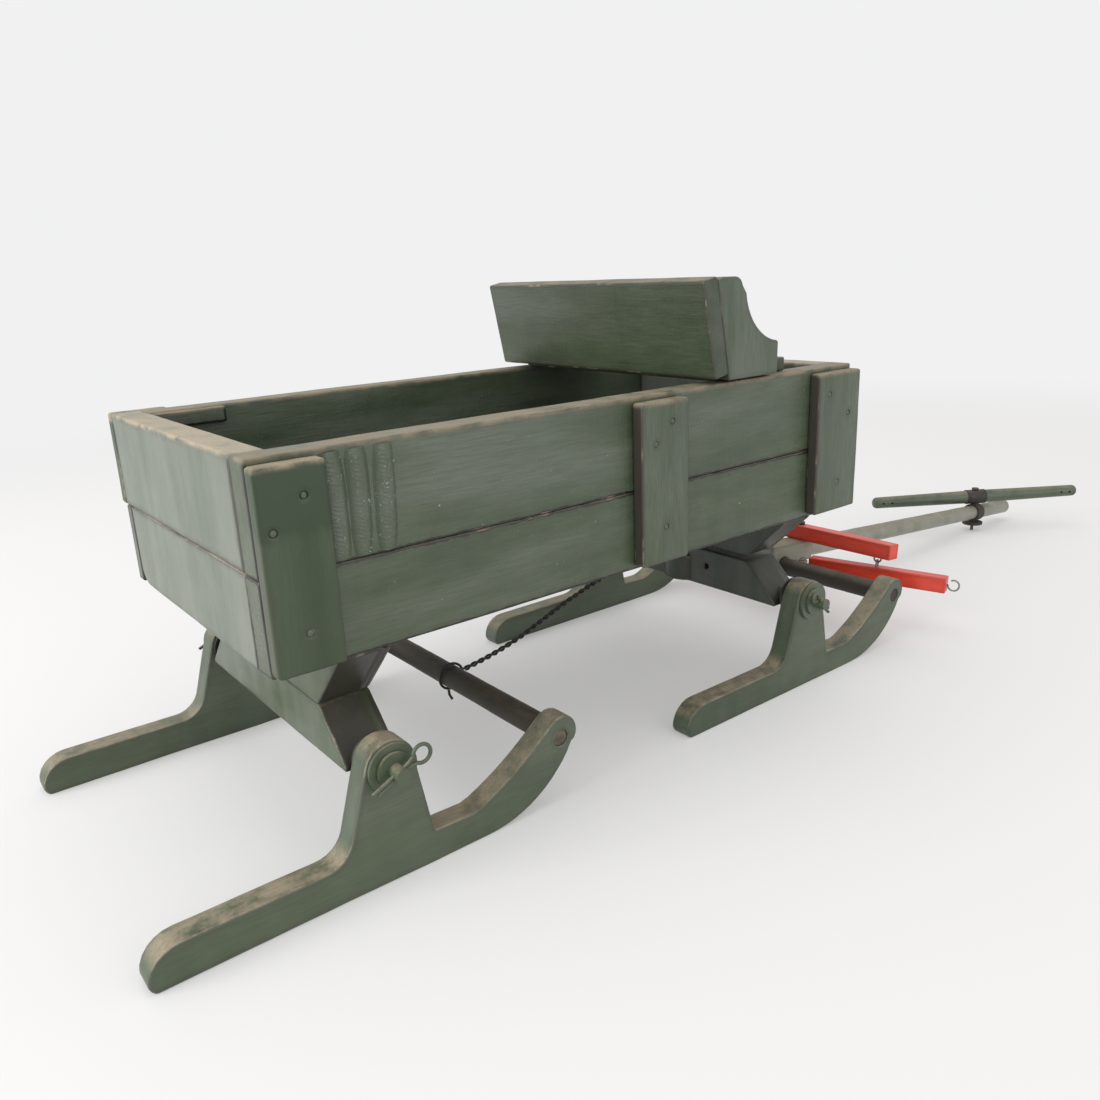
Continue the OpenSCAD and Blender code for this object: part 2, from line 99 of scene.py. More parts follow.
Colour = tuple[float, float, float]
Loop = list[Vector]
Runs = Sequence[Sequence[Vector]]
Socket = bpy.types.NodeSocket
Sockets = bpy.types.bpy_prop_collection
Thing = bpy.types.Object
FLOAT, VECTOR = "NodeSocketFloat", "NodeSocketVector"


class Axis(Enum):
    """A direction of the row frame."""

    X = 0
    Y = 1
    Z = 2

    @property
    def others(self) -> tuple[int, int]:
        """The two other axes, in right-handed order."""
        return (self.value + 1) % 3, (self.value + 2) % 3


class Sheen(Enum):
    """How glossy a finish is, as its roughness."""

    WET = 0.2
    GLOSSY = 0.3
    SATIN = 0.38
    DULL = 0.6


# ---- node trees --------------------------------------------------------------


class NodeBench:
    """Adds and links nodes in one tree."""

    def __init__(self, tree: bpy.types.NodeTree) -> None:
        """Works on a shader or geometry tree."""
        self.tree = tree

    def add(self, kind: str, inputs: dict | None = None, **settings: object) -> bpy.types.Node:
        """Adds a node.

        Args:
            kind: The node's type name.
            inputs: Input name or index to a value, or to a socket to link from.
            settings: Properties of the node itself.

        Returns:
            The new node.
        """
        node = self.tree.nodes.new(kind)
        for name, value in settings.items():
            setattr(node, name, value)
        for name, value in (inputs or {}).items():
            self.set(node.inputs[name], value)
        return node

    def out(self, kind: str, inputs: dict | None = None, **settings: object) -> Socket:
        """Adds a node as add() does, and gives its first output."""
        return self.add(kind, inputs, **settings).outputs[0]

    def set(self, socket: Socket, value: object) -> None:
        """Links a socket to another, or gives it a value.

        Args:
            socket: The input.
            value: A number, vector, colour or output.
        """
        if isinstance(value, Socket):
            self.tree.links.new(value, socket)
        elif isinstance(value, tuple) and len(value) == 3 and socket.type == "RGBA":
            socket.default_value = (*value, 1.0)
        else:
            socket.default_value = value

    def math(self, kind: str, a: object, b: object = 0.0, c: object = 0.0) -> Socket:
        """A Math node's result, for an operation such as MULTIPLY."""
        return self.out("ShaderNodeMath", {0: a, 1: b, 2: c}, operation=kind)

    mul = partialmethod(math, "MULTIPLY")
    div = partialmethod(math, "DIVIDE")
    plus = partialmethod(math, "ADD")
    sub = partialmethod(math, "SUBTRACT")
    most = partialmethod(math, "MAXIMUM")
    least = partialmethod(math, "MINIMUM")
    muladd = partialmethod(math, "MULTIPLY_ADD")

    def blend(self, factor: object, a: object, b: object) -> Socket:
        """A colour mixed between a and b.

        Args:
            factor: 0 gives a and 1 gives b.
            a: Colour or socket.
            b: Colour or socket.

        Returns:
            The mixed colour's socket.
        """
        node = self.add("ShaderNodeMix", data_type="RGBA")
        self.set(node.inputs[0], factor)
        self.set(node.inputs[6], a)
        self.set(node.inputs[7], b)
        return node.outputs[2]

    def fade(self, value: object, low: object, high: object) -> Socket:
        """0 at low and 1 at high, with a smooth run between them."""
        return self.out("ShaderNodeMapRange", {0: value, 1: low, 2: high}, interpolation_type="SMOOTHSTEP")

    def cloud(self, vector: object, scale: object, detail: float = 3.0, rough: float = 0.55) -> Socket:
        """Noise between 0 and 1, whose scale is per metre."""
        return self.out("ShaderNodeTexNoise", {
            "Vector": vector, "Scale": scale, "Detail": detail, "Roughness": rough})

    def stretched(self, vector: Socket, axis: Axis, across: float, along: float,
                  shift: tuple[float, ...] = (0.0, 0.0, 0.0)) -> Socket:
        """A vector drawn out along an axis, for noise.

        Args:
            vector: The vector.
            axis: The axis.
            across: How fast it changes across the axis, per metre.
            along: How fast it changes along it.
            shift: What is added to it.

        Returns:
            The drawn-out vector.
        """
        scale = [across] * 3
        scale[axis.value] = along
        return self.out("ShaderNodeMapping", {"Vector": vector, "Scale": tuple(scale), "Location": shift})

    def surface(self, colour: object, rough: object, metal: object, height: object, relief: float,
                depth: float) -> None:
        """Ends a material.

        Args:
            colour: Its base colour.
            rough: Its roughness.
            metal: How metallic it is.
            height: What its bumps follow.
            relief: How strong they are.
            depth: How deep they are.
        """
        normal = self.out("ShaderNodeBump", {"Strength": relief, "Distance": depth, "Height": height})
        shader = self.out("ShaderNodeBsdfPrincipled", {
            "Base Color": colour, "Roughness": rough, "Metallic": metal, "Normal": normal})
        self.add("ShaderNodeOutputMaterial", {0: shader})


def new_group(name: str, inputs: dict[str, float],
              outputs: Sequence[str]) -> tuple[NodeBench, Sockets, Sockets]:
    """Starts a shader node group with a vector input.

    Args:
        name: The group's name.
        inputs: Name to default of each float input.
        outputs: Names of its float outputs.

    Returns:
        The bench, the group's given sockets and the ones it fills.
    """
    tree = bpy.data.node_groups.new(name, "ShaderNodeTree")
    tree.interface.new_socket("Vector", in_out="INPUT", socket_type=VECTOR)
    for label, default in inputs.items():
        tree.interface.new_socket(label, in_out="INPUT", socket_type=FLOAT).default_value = default
    for label in outputs:
        tree.interface.new_socket(label, in_out="OUTPUT", socket_type=FLOAT)
    bench = NodeBench(tree)
    return bench, bench.add("NodeGroupInput").outputs, bench.add("NodeGroupOutput").inputs


def new_material(name: str) -> tuple[bpy.types.Material, NodeBench]:
    """Starts an empty material.

    Args:
        name: Its name.

    Returns:
        The material and a bench on its tree.
    """
    material = bpy.data.materials.new(name)
    material.use_nodes = True
    material.node_tree.nodes.clear()
    return material, NodeBench(material.node_tree)


def place_in_scene(obj: Thing) -> Thing:
    """Links an object into the scene and gives it back."""
    bpy.context.scene.collection.objects.link(obj)
    return obj


class Effects:
    """Shader groups that several finishes share, each built on first use."""

    def __init__(self) -> None:
        """Starts with no group built."""
        self._made: dict[str, bpy.types.NodeTree] = {}

    def place(self, bench: NodeBench, name: str, **inputs: object) -> bpy.types.Node:
        """Puts a group into a material.

        Args:
            bench: The material's bench.
            name: The effect's name, which is also its method's.
            inputs: The group's inputs, with underscores for spaces.

        Returns:
            The group node.
        """
        if name not in self._made:
            self._made[name] = getattr(self, name)()
        node = bench.add("ShaderNodeGroup", node_tree=self._made[name])
        for label, value in inputs.items():
            bench.set(node.inputs[label.replace("_", " ").capitalize()], value)
        return node

    def edge_wear(self) -> bpy.types.NodeTree:
        """Bare spots and a dark line along edges, from the closeness attribute; the line is painted shade for
        the gaps between parts.

        Returns:
            The group.
        """
        bench, given, out = new_group(
            "edge wear and gap shade", {"Width": 2.0, "Scale": 60.0, "Ragged": 1.0}, ("Mask", "Halo", "Crease"))
        near = bench.add("ShaderNodeAttribute", attribute_name=EDGE_ATTRIBUTE).outputs["Fac"]
        away = bench.mul(bench.sub(1.0, near), EDGE_REACH / MM)
        cloud = bench.cloud(given["Vector"], given["Scale"], 5.0, 0.6)
        patch = bench.fade(bench.cloud(given["Vector"], 26.0, 3.0), 0.5, 0.64)
        lumps = bench.muladd(bench.sub(cloud, 0.42), bench.mul(given["Ragged"], 5.0), 0.3)
        reach = bench.muladd(bench.mul(lumps, given["Width"]), patch, -0.26)
        bench.set(out["Mask"], bench.fade(away, bench.plus(reach, 0.25), bench.sub(reach, 0.25)))
        wide = bench.muladd(lumps, 1.6, 1.6)
        bench.set(out["Halo"], bench.fade(away, bench.plus(wide, 1.5), bench.sub(wide, 1.5)))
        # The third output is painted shade: a dark line hugging each edge, for the shadow in the gaps between
        # parts.
        deep = bench.muladd(bench.fade(cloud, 0.35, 0.6), 0.9, 0.1)
        bench.set(out["Crease"], bench.fade(away, bench.plus(deep, 0.35), bench.sub(deep, 0.1)))
        return bench.tree

    def wood_grain(self) -> bpy.types.NodeTree:
        """Long fibres and slow bands along a stretched vector.

        Returns:
            The group.
        """
        bench, given, out = new_group("wood grain", {"Scale": 1.0}, ("Fibre", "Band", "Height"))
        fine = bench.cloud(given["Vector"], bench.mul(given["Scale"], 5.0), 6.0, 0.7)
        slow = bench.cloud(given["Vector"], given["Scale"], 2.0, 0.5)
        bench.set(out["Fibre"], bench.fade(fine, 0.35, 0.68))
        bench.set(out["Band"], bench.fade(slow, 0.3, 0.7))
        bench.set(out["Height"], bench.muladd(slow, 0.6, bench.mul(fine, 0.7)))
        return bench.tree

    def paint_chips(self) -> bpy.types.NodeTree:
        """Small flakes lost from a coat of paint; their pale flecks also serve as painted glints.

        Returns:
            The group.
        """
        bench, given, out = new_group("paint chips and glints", {"Scale": 90.0, "Amount": 0.2}, ("Mask",))
        flakes = bench.cloud(given["Vector"], given["Scale"], 4.0, 0.65)
        patch = bench.cloud(given["Vector"], bench.mul(given["Scale"], 0.12), 2.0)
        level = bench.muladd(patch, -0.35, bench.sub(1.02, bench.mul(given["Amount"], 0.3)))
        bench.set(out["Mask"], bench.fade(flakes, level, bench.plus(level, 0.03)))
        return bench.tree

    def settled_dust(self) -> bpy.types.NodeTree:
        """Dust on what faces up, thicker in patches.

        Returns:
            The group.
        """
        bench, given, out = new_group("settled dust", {"Amount": 0.5}, ("Mask",))
        normal = bench.add("ShaderNodeTexCoord").outputs["Normal"]
        up = bench.fade(bench.add("ShaderNodeSeparateXYZ", {0: normal}).outputs[2], 0.35, 0.95)
        patch = bench.fade(bench.cloud(given["Vector"], 38.0, 5.0, 0.7), 0.3, 0.62)
        bench.set(out["Mask"], bench.mul(bench.mul(up, patch), given["Amount"]))
        return bench.tree


# ---- finishes ----------------------------------------------------------------


@dataclass(frozen=True)
class Paint:
    """Oil paint brushed over pine, worn through at the edges."""

    name: str
    slot: str
    coat: Colour
    deep: Colour
    pale: Colour
    bare: Colour = (0.27, 0.225, 0.15)
    dirt: Colour = (0.045, 0.038, 0.030)
    grain: Axis = Axis.X
    wear: float = 0.32
    chips: float = 0.12
    dust: float = 0.8
    sheen: Sheen = Sheen.SATIN
    relief: float = 0.35
    sag: float = 0.5
    streak: float = 0.3
    fleck: Colour = (0.42, 0.42, 0.36)
    bloom: float = 0.3
    shift: float = 0.0
    crease: float = 0.0
    grime: float = 0.0
    grime_axis: Axis = Axis.X
    rim: float = 0.0
    deep_above: float = 0.0
    crest_from: float = 0.0

    def build(self, effects: Effects) -> bpy.types.Material:
        """Makes the material.

        Args:
            effects: The shared shader groups.

        Returns:
            The material.
        """
        material, bench = new_material(self.name)
        coords = bench.add("ShaderNodeTexCoord").outputs
        spot = coords["Object"]
        fibres = bench.stretched(spot, self.grain, 190.0, 9.0)
        hang = bench.stretched(spot, Axis.Z, 120.0, 16.0)
        grain = effects.place(bench, "wood_grain", vector=fibres, scale=1.0)
        sags = effects.place(bench, "wood_grain", vector=hang, scale=0.45)
        wear = effects.place(bench, "edge_wear", vector=spot, width=self.wear, scale=85.0, ragged=1.0)
        chips = effects.place(bench, "paint_chips", vector=spot, scale=420.0, amount=self.chips)
        dust = effects.place(bench, "settled_dust", vector=spot, amount=self.dust)

        drift = bench.stretched(spot, self.grain, 26.0, 6.0, (self.shift, 0.3, 0.7))
        broad = bench.fade(bench.cloud(drift, 1.0, 5.0, 0.65), 0.34, 0.66)
        colour = bench.blend(bench.muladd(broad, 0.75, 0.25), self.deep, self.coat)
        # Pale patches blended in here are a painted sheen on the glossy coat.
        bloom = bench.fade(bench.cloud(drift, 0.6, 3.0), 0.42, 0.64)
        colour = bench.blend(bench.mul(bloom, self.bloom), colour, self.pale)
        colour = bench.blend(bench.mul(sags.outputs["Band"], self.sag), colour, self.pale)
        colour = bench.blend(bench.mul(grain.outputs["Fibre"], self.streak), colour, self.deep)
        # Pale streaks along the grain: scuffs, and a painted sheen.
        scuffs_and_sheen_streaks = bench.fade(bench.cloud(fibres, 1.7, 6.0, 0.75), 0.62, 0.72)
        colour = bench.blend(bench.mul(scuffs_and_sheen_streaks, 0.35), colour, self.pale)
        colour = bench.blend(bench.mul(wear.outputs["Halo"], 0.3), colour, self.dirt)
        _, across, tall = bench.add("ShaderNodeSeparateXYZ", {0: spot}).outputs
        if self.deep_above:
            ragged = bench.muladd(bench.cloud(fibres, 0.6, 3.0), 16 * MM, tall)
            upper = bench.fade(ragged, self.deep_above + 4 * MM, self.deep_above + 12 * MM)
            colour = bench.blend(bench.mul(upper, 0.85), colour, self.deep)
        # Paint runs: painted shade in the valleys beside the board and a painted highlight on the crests.
        if self.crest_from:
            crest = bench.fade(across, self.crest_from - 0.2 * MM, self.crest_from - 1.7 * MM)
            colour = bench.blend(bench.muladd(crest, -0.7, 0.7), colour, self.deep)
            colour = bench.blend(bench.mul(crest, 0.15), colour, self.pale)
        # Faces that point either way along an axis are made darker.
        if self.grime:
            facing = bench.add("ShaderNodeSeparateXYZ", {0: coords["Normal"]}).outputs[self.grime_axis.value]
            side = bench.fade(bench.math("ABSOLUTE", facing), 0.35, 0.75)
            colour = bench.blend(bench.mul(side, self.grime), colour, self.dirt)
        edge = wear.outputs["Mask"]
        # Painted shade: a black line along the edges stands for the shadow in the gaps between parts; the top
        # rim is kept clear of it.
        crease = bench.mul(wear.outputs["Crease"], self.crease)
        if self.rim:
            rim = bench.fade(tall, self.rim - 4.5 * MM, self.rim - 0.5 * MM)
            crease = bench.mul(crease, bench.sub(1.0, rim))
            ragged = bench.fade(bench.cloud(spot, 55.0, 4.0), 0.3, 0.65)
            edge = bench.most(edge, bench.mul(rim, ragged))
        colour = bench.blend(crease, colour, GAP_SHADE_BLACK)
        grey = tuple(0.5 * c for c in self.bare)
        aged = bench.blend(bench.mul(grain.outputs["Fibre"], 0.6), self.bare, grey)
        colour = bench.blend(dust.outputs["Mask"], colour, aged)
        colour = bench.blend(edge, colour, aged)
        # Pale flecks: chipped paint, and painted glints on the gloss.
        colour = bench.blend(bench.mul(chips.outputs["Mask"], 0.8), colour, self.fleck)

        bare = bench.most(edge, dust.outputs["Mask"])
        gloss = bench.muladd(bench.cloud(spot, 30.0, 4.0), 0.24, self.sheen.value - 0.12)
        rough = bench.out("ShaderNodeMix", {0: bare, 2: gloss, 3: 0.8})
        height = bench.muladd(sags.outputs["Height"], 0.9, bench.mul(grain.outputs["Height"], 0.55))
        height = bench.sub(height, bench.mul(chips.outputs["Mask"], 0.5))
        bench.surface(colour, rough, 0.0, height, self.relief, 0.9 * MM)
        return material


@dataclass(frozen=True)
class Metal:
    """Iron, steel or leather, tarnished in patches."""

    name: str
    slot: str
    clean: Colour
    tarnish: Colour
    metallic: float = 0.85
    sheen: Sheen = Sheen.SATIN
    spots: float = 160.0

    def build(self, effects: Effects) -> bpy.types.Material:
        """Makes the material.

        Args:
            effects: The shared shader groups.

        Returns:
            The material.
        """
        material, bench = new_material(self.name)
        spot = bench.add("ShaderNodeTexCoord").outputs["Object"]
        patch = bench.fade(bench.cloud(spot, self.spots, 5.0, 0.65), 0.38, 0.62)
        colour = bench.blend(patch, self.clean, self.tarnish)
        dust = effects.place(bench, "settled_dust", vector=spot, amount=0.25)
        colour = bench.blend(dust.outputs["Mask"], colour, (0.2, 0.17, 0.12))
        rough = bench.muladd(patch, 0.22, self.sheen.value)
        metal = bench.mul(bench.sub(1.0, bench.mul(patch, 0.6)), self.metallic)
        bench.surface(colour, rough, metal, bench.cloud(spot, 900.0, 3.0), 0.3, 0.3 * MM)
        return material


def tones(coat: Colour, deep: Colour, pale: Colour) -> dict[str, Colour]:
    """A paint's three colours, by field."""
    return {"coat": coat, "deep": deep, "pale": pale}


GREEN = {"slot": "green_paint"} | tones((0.074, 0.098, 0.054), (0.030, 0.048, 0.023), (0.130, 0.148, 0.116))
DARK = {"slot": "dark_green_paint"} | tones((0.042, 0.056, 0.038), (0.018, 0.028, 0.018), (0.09, 0.10, 0.08))
BROWN = DARK | tones((0.028, 0.025, 0.016), (0.014, 0.012, 0.008), (0.07, 0.056, 0.035))
RED = {"slot": "red_paint"} | tones((0.78, 0.058, 0.024), (0.55, 0.03, 0.014), (0.80, 0.14, 0.08))
WOOD = {"slot": "bare_wood"} | tones((0.30, 0.24, 0.16), (0.16, 0.12, 0.08), (0.38, 0.31, 0.22))
TAN = {"bare": (0.34, 0.285, 0.195)}
DARK_SIDES = {"dirt": (0.026, 0.022, 0.015), "grain": Axis.Y, "grime_axis": Axis.Y}


class Finishes:
    """The sled's materials, each built on first use."""

    def __init__(self) -> None:
        """Lists the finishes."""
        self.effects = Effects()
        board_low, board_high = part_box("right_upper_side_board")
        rim = board_high.z
        # Side boards: the pale patches and streaks are painted sheen, the edge line is painted gap shade, and
        # the flecks include painted glints.
        side = GREEN | dict(sag=0.1, streak=0.4, bloom=0.7, chips=0.4, crease=0.95, rim=rim, relief=0.6,
                            shift=2.1)
        paints = {
            "side_green": side | dict(sheen=Sheen.GLOSSY),
            # Paint runs: their flecks include painted glints, and their ridges carry painted shade and
            # highlight.
            "run_green": side | dict(fleck=(0.3, 0.33, 0.28), chips=0.74, dust=0.0, sheen=Sheen.WET,
                                     crest_from=board_low.y),
            # A paler green for the end boards: partly their own weathered tone, partly painted light from the
            # rear lamp.
            "end_green_lit": GREEN | tones((0.115, 0.137, 0.102), (0.08, 0.105, 0.07), (0.185, 0.198, 0.168))
            | dict(bare=(0.42, 0.36, 0.26), grain=Axis.Z, streak=0.25, bloom=0.5, wear=0.06, crease=0.55,
                   rim=rim, dust=1.0),
            "seat_green": GREEN | tones((0.052, 0.07, 0.036), (0.02, 0.032, 0.015), (0.095, 0.112, 0.08))
            | dict(grain=Axis.Y, sag=0.08, streak=0.5, bloom=0.6, crease=0.2, relief=0.5, shift=5.2),
            "upright_green": GREEN | dict(grain=Axis.Z, streak=0.55, grime=0.9, rim=rim - 4 * MM),
            "corner_green": GREEN | tones((0.036, 0.062, 0.023), (0.016, 0.036, 0.010), (0.065, 0.09, 0.052))
            | TAN | dict(grain=Axis.Z, streak=0.35, sag=0.3, rim=rim - 4 * MM, deep_above=rim - 44 * MM),
            "panel_green": GREEN | dict(grain=Axis.Z, sag=0.7, streak=0.45, crease=0.2),
            "runner_green": GREEN | TAN | dict(relief=0.25, sag=0.15, dust=0.95),
            "bolster_green": GREEN | DARK_SIDES | dict(grime=0.93, dust=0.08),
            "bar_brown": BROWN | dict(grain=Axis.Y, bare=(0.15, 0.12, 0.08), sag=0.2, relief=0.25, dust=0.6,
                                      sheen=Sheen.DULL),
            "beam_green": DARK | DARK_SIDES | dict(grime=0.6, dust=0.1),
            "floor_dark": DARK | dict(sheen=Sheen.DULL, dust=0.25),
            "pole_green": GREEN | tones((0.24, 0.24, 0.185), (0.13, 0.14, 0.10), (0.36, 0.35, 0.30))
            | dict(relief=0.2, sag=0.3),
            "yoke_green": GREEN | dict(relief=0.2, sag=0.3, dust=0.6),
            "washer_green": GREEN | TAN | dict(slot="painted_washer", sheen=Sheen.GLOSSY, relief=0.5, sag=0.3,
                                               dust=0.7),
            "saddle_bare": WOOD | dict(sheen=Sheen.DULL, chips=0.0),
            "tree_red": RED | dict(grain=Axis.Y, bare=(0.8, 0.25, 0.16), dirt=(0.3, 0.03, 0.02), wear=0.1,
                                   chips=0.0, dust=0.15, relief=0.12, sag=0.1),
        }
        metals = {
            "black_iron": ("black_iron", (0.045, 0.043, 0.04), (0.022, 0.02, 0.018), 0.6),
            "steel_wire": ("steel_wire", (0.36, 0.36, 0.37), (0.2, 0.19, 0.18), 0.9),
            "rusty_iron": ("black_iron", (0.16, 0.075, 0.05), (0.07, 0.035, 0.025), 0.2, Sheen.DULL),
            "old_leather": ("leather", (0.025, 0.022, 0.02), (0.04, 0.033, 0.026), 0.0, Sheen.DULL, 70.0),
        }
        self.listed = {name: Paint(name, **fields) for name, fields in paints.items()}
        self.listed |= {name: Metal(name, *fields) for name, fields in metals.items()}
        self._made: dict[str, bpy.types.Material] = {}

    def get(self, name: str) -> bpy.types.Material:
        """The material of that name.

        Args:
            name: The finish's name.

        Returns:
            The material, built if it wasn't yet.
        """
        if name not in self._made:
            self._made[name] = self.listed[name].build(self.effects)
        return self._made[name]


# ---- sawn pieces -------------------------------------------------------------


@dataclass
class Prism:
    """A flat-sided solid: an outline with holes, pushed along an axis."""

    outer: Loop
    holes: list[Loop]
    low: float
    high: float


def tidy_loop(loop: Loop) -> Loop:
    """Drops points that lie on a straight run.

    Args:
        loop: An outline.

    Returns:
        The outline, anticlockwise.
    """
    kept = []
    for i, point in enumerate(loop):
        before, after = point - loop[i - 1], loop[(i + 1) % len(loop)] - point
        if before.length > 1e-7 and after.length > 1e-7 and abs(before.angle_signed(after)) > 0.01:
            kept.append(point)
    area = sum(a.cross(b) for a, b in zip(kept, kept[1:] + kept[:1]))
    return kept if area > 0 else kept[::-1]


def read_prisms(node: Thing, axis: Axis, turn: Matrix) -> list[Prism]:
    """Reads the outlines of a CAD node's solids.

    Args:
        node: The CAD node.
        axis: The axis of the piece's own frame that its sides run along.
        turn: The piece's own frame, as a matrix to the row frame.

    Returns:
        A prism for each solid.
    """
    bm = bmesh.new()
    bm.from_mesh(node.data)
    bmesh.ops.remove_doubles(bm, verts=bm.verts, dist=WELD_GAP)
    bm.transform(turn.inverted())
    u, v = axis.others
    todo, prisms = set(bm.verts), []
    while todo:
        island, front = set(), [todo.pop()]
        while front:
            vert = front.pop()
            island.add(vert)
            fresh = {e.other_vert(vert) for e in vert.link_edges} & todo
            todo -= fresh
            front.extend(fresh)
        heights = [vert.co[axis.value] for vert in island]
        low, high = min(heights), max(heights)
        faces = {f for vert in island for f in vert.link_faces
                 if all(abs(w.co[axis.value] - low) < FLAT_GAP for w in f.verts)}
        rim = {e for f in faces for e in f.edges if sum(g in faces for g in e.link_faces) == 1}
        loops = []
        while rim:
            edge = rim.pop()
            start, here = edge.verts
            loop = [start, here]
            while here != start:
                edge = next(e for e in here.link_edges if e in rim)
                rim.discard(edge)
                here = edge.other_vert(here)
                loop.append(here)
            loops.append(tidy_loop([Vector((w.co[u], w.co[v])) for w in loop[:-1]]))
        loops.sort(key=lambda p: -max((a - b).length for a in p for b in p))
        prisms.append(Prism(loops[0], loops[1:], low, high))
    bm.free()
    return prisms


def graded(length: float, step: float, start: bool, end: bool) -> list[float]:
    """Stations along a run, closer together beside a sharp end.

    Args:
        length: The run's length.
        step: The widest spacing.
        start: Whether the run starts at an edge.
        end: Whether it ends at one.

    Returns:
        Stations after 0 and before the length.
    """
    near = [d for d in NEAR_BANDS if d < 0.35 * length]
    low = near[-1] if start and near else 0.0
    high = length - (near[-1] if end and near else 0.0)
    count = max(1, math.ceil((high - low) / step))
    middle = [low + (high - low) * i / count for i in range(count + 1)]
    stations = set(near if start else []) | set(middle) | {length - d for d in (near if end else [])}
    return sorted(s for s in stations if 1e-6 < s < length - 1e-6)


def eased_loop(loop: Loop, ease: float, step: float) -> tuple[Loop, list[float]]:
    """Rounds a loop's sharp corners and puts points along its runs.

    Args:
        loop: The outline.
        ease: Radius of the rounding.
        step: The widest spacing of points.

    Returns:
        The points, and each one's distance along the outline to the nearest sharp corner.
    """
    points: Loop = []
    for i, here in enumerate(loop):
        before, after = loop[i - 1], loop[(i + 1) % len(loop)]
        into, out = (here - before), (after - here)
        half_turn = abs(into.angle_signed(out)) / 2
        if half_turn > SHARP_TURN:
            cut = min(1.3 * ease * max(1.0, math.tan(half_turn)), 0.4 * into.length, 0.4 * out.length)
            a, b = here - into.normalized() * cut, here + out.normalized() * cut
            crown = here.lerp((a + b) / 2, 1 / (1 + math.cos(half_turn)))
            points += [(a, True), (crown, True), (b, True)]
        else:
            points.append((here, False))
    full: list[tuple[Vector, bool]] = []
    for i, (here, sharp) in enumerate(points):
        there, next_sharp = points[(i + 1) % len(points)]
        run = there - here
        full.append((here, sharp))
        if not (sharp and next_sharp and run.length < 2 * ease):
            stops = graded(run.length, step, sharp, next_sharp)
            full += [(here + run.normalized() * stop, False) for stop in stops]
    co = [p for p, _ in full]
    along = np.concatenate([[0.0], np.cumsum([(b - a).length for a, b in zip(co, co[1:] + co[:1])])])
    total, marks = along[-1], np.array([along[i] for i, (_, s) in enumerate(full) if s])
    if not len(marks):
        return co, [1.0] * len(co)
    gaps = np.abs(along[:-1, None] - marks[None])
    return co, list(np.minimum(gaps, total - gaps).min(1))


def inset(loop: Loop, depth: float) -> Loop:
    """Moves a loop to the left of its direction.

    Args:
        loop: The loop.
        depth: How far it moves.

    Returns:
        The moved loop.
    """
    moved = []
    for i, here in enumerate(loop):
        into = (here - loop[i - 1]).normalized()
        out = (loop[(i + 1) % len(loop)] - here).normalized()
        side = Vector((-into.y - out.y, into.x + out.x))
        side = side / max(side.length_squared / 2, 0.6)
        moved.append(here + side * depth)
    return moved


def away_from(points: np.ndarray, loops: Sequence[Loop]) -> np.ndarray:
    """Measures points against loops.

    Args:
        points: The points, one to a row.
        loops: The loops.

    Returns:
        Each point's distance to the nearest loop.
    """
    best = np.full(len(points), 1.0)
    for loop in loops:
        a = np.array(loop)
        d = np.roll(a, -1, 0) - a
        span = np.maximum((d * d).sum(1), 1e-12)
        t = np.clip(((points[:, None] - a[None]) * d[None]).sum(2) / span, 0, 1)
        gap = points[:, None] - (a[None] + t[..., None] * d[None])
        best = np.minimum(best, np.sqrt((gap * gap).sum(2)).min(1))
    return best


def within(points: np.ndarray, loop: Loop) -> np.ndarray:
    """Tells which points are inside a loop.

    Args:
        points: The points, one to a row.
        loop: The loop.

    Returns:
        True for each point inside.
    """
    a = np.array(loop)
    b = np.roll(a, -1, 0)
    x, y = points[:, :1], points[:, 1:]
    crosses = (a[:, 1] > y) != (b[:, 1] > y)
    rise = np.where(np.abs(b[:, 1] - a[:, 1]) < 1e-12, 1e-12, b[:, 1] - a[:, 1])
    left = x < (b[:, 0] - a[:, 0]) * (y - a[:, 1]) / rise + a[:, 0]
    return (crosses & left).sum(1) % 2 == 1


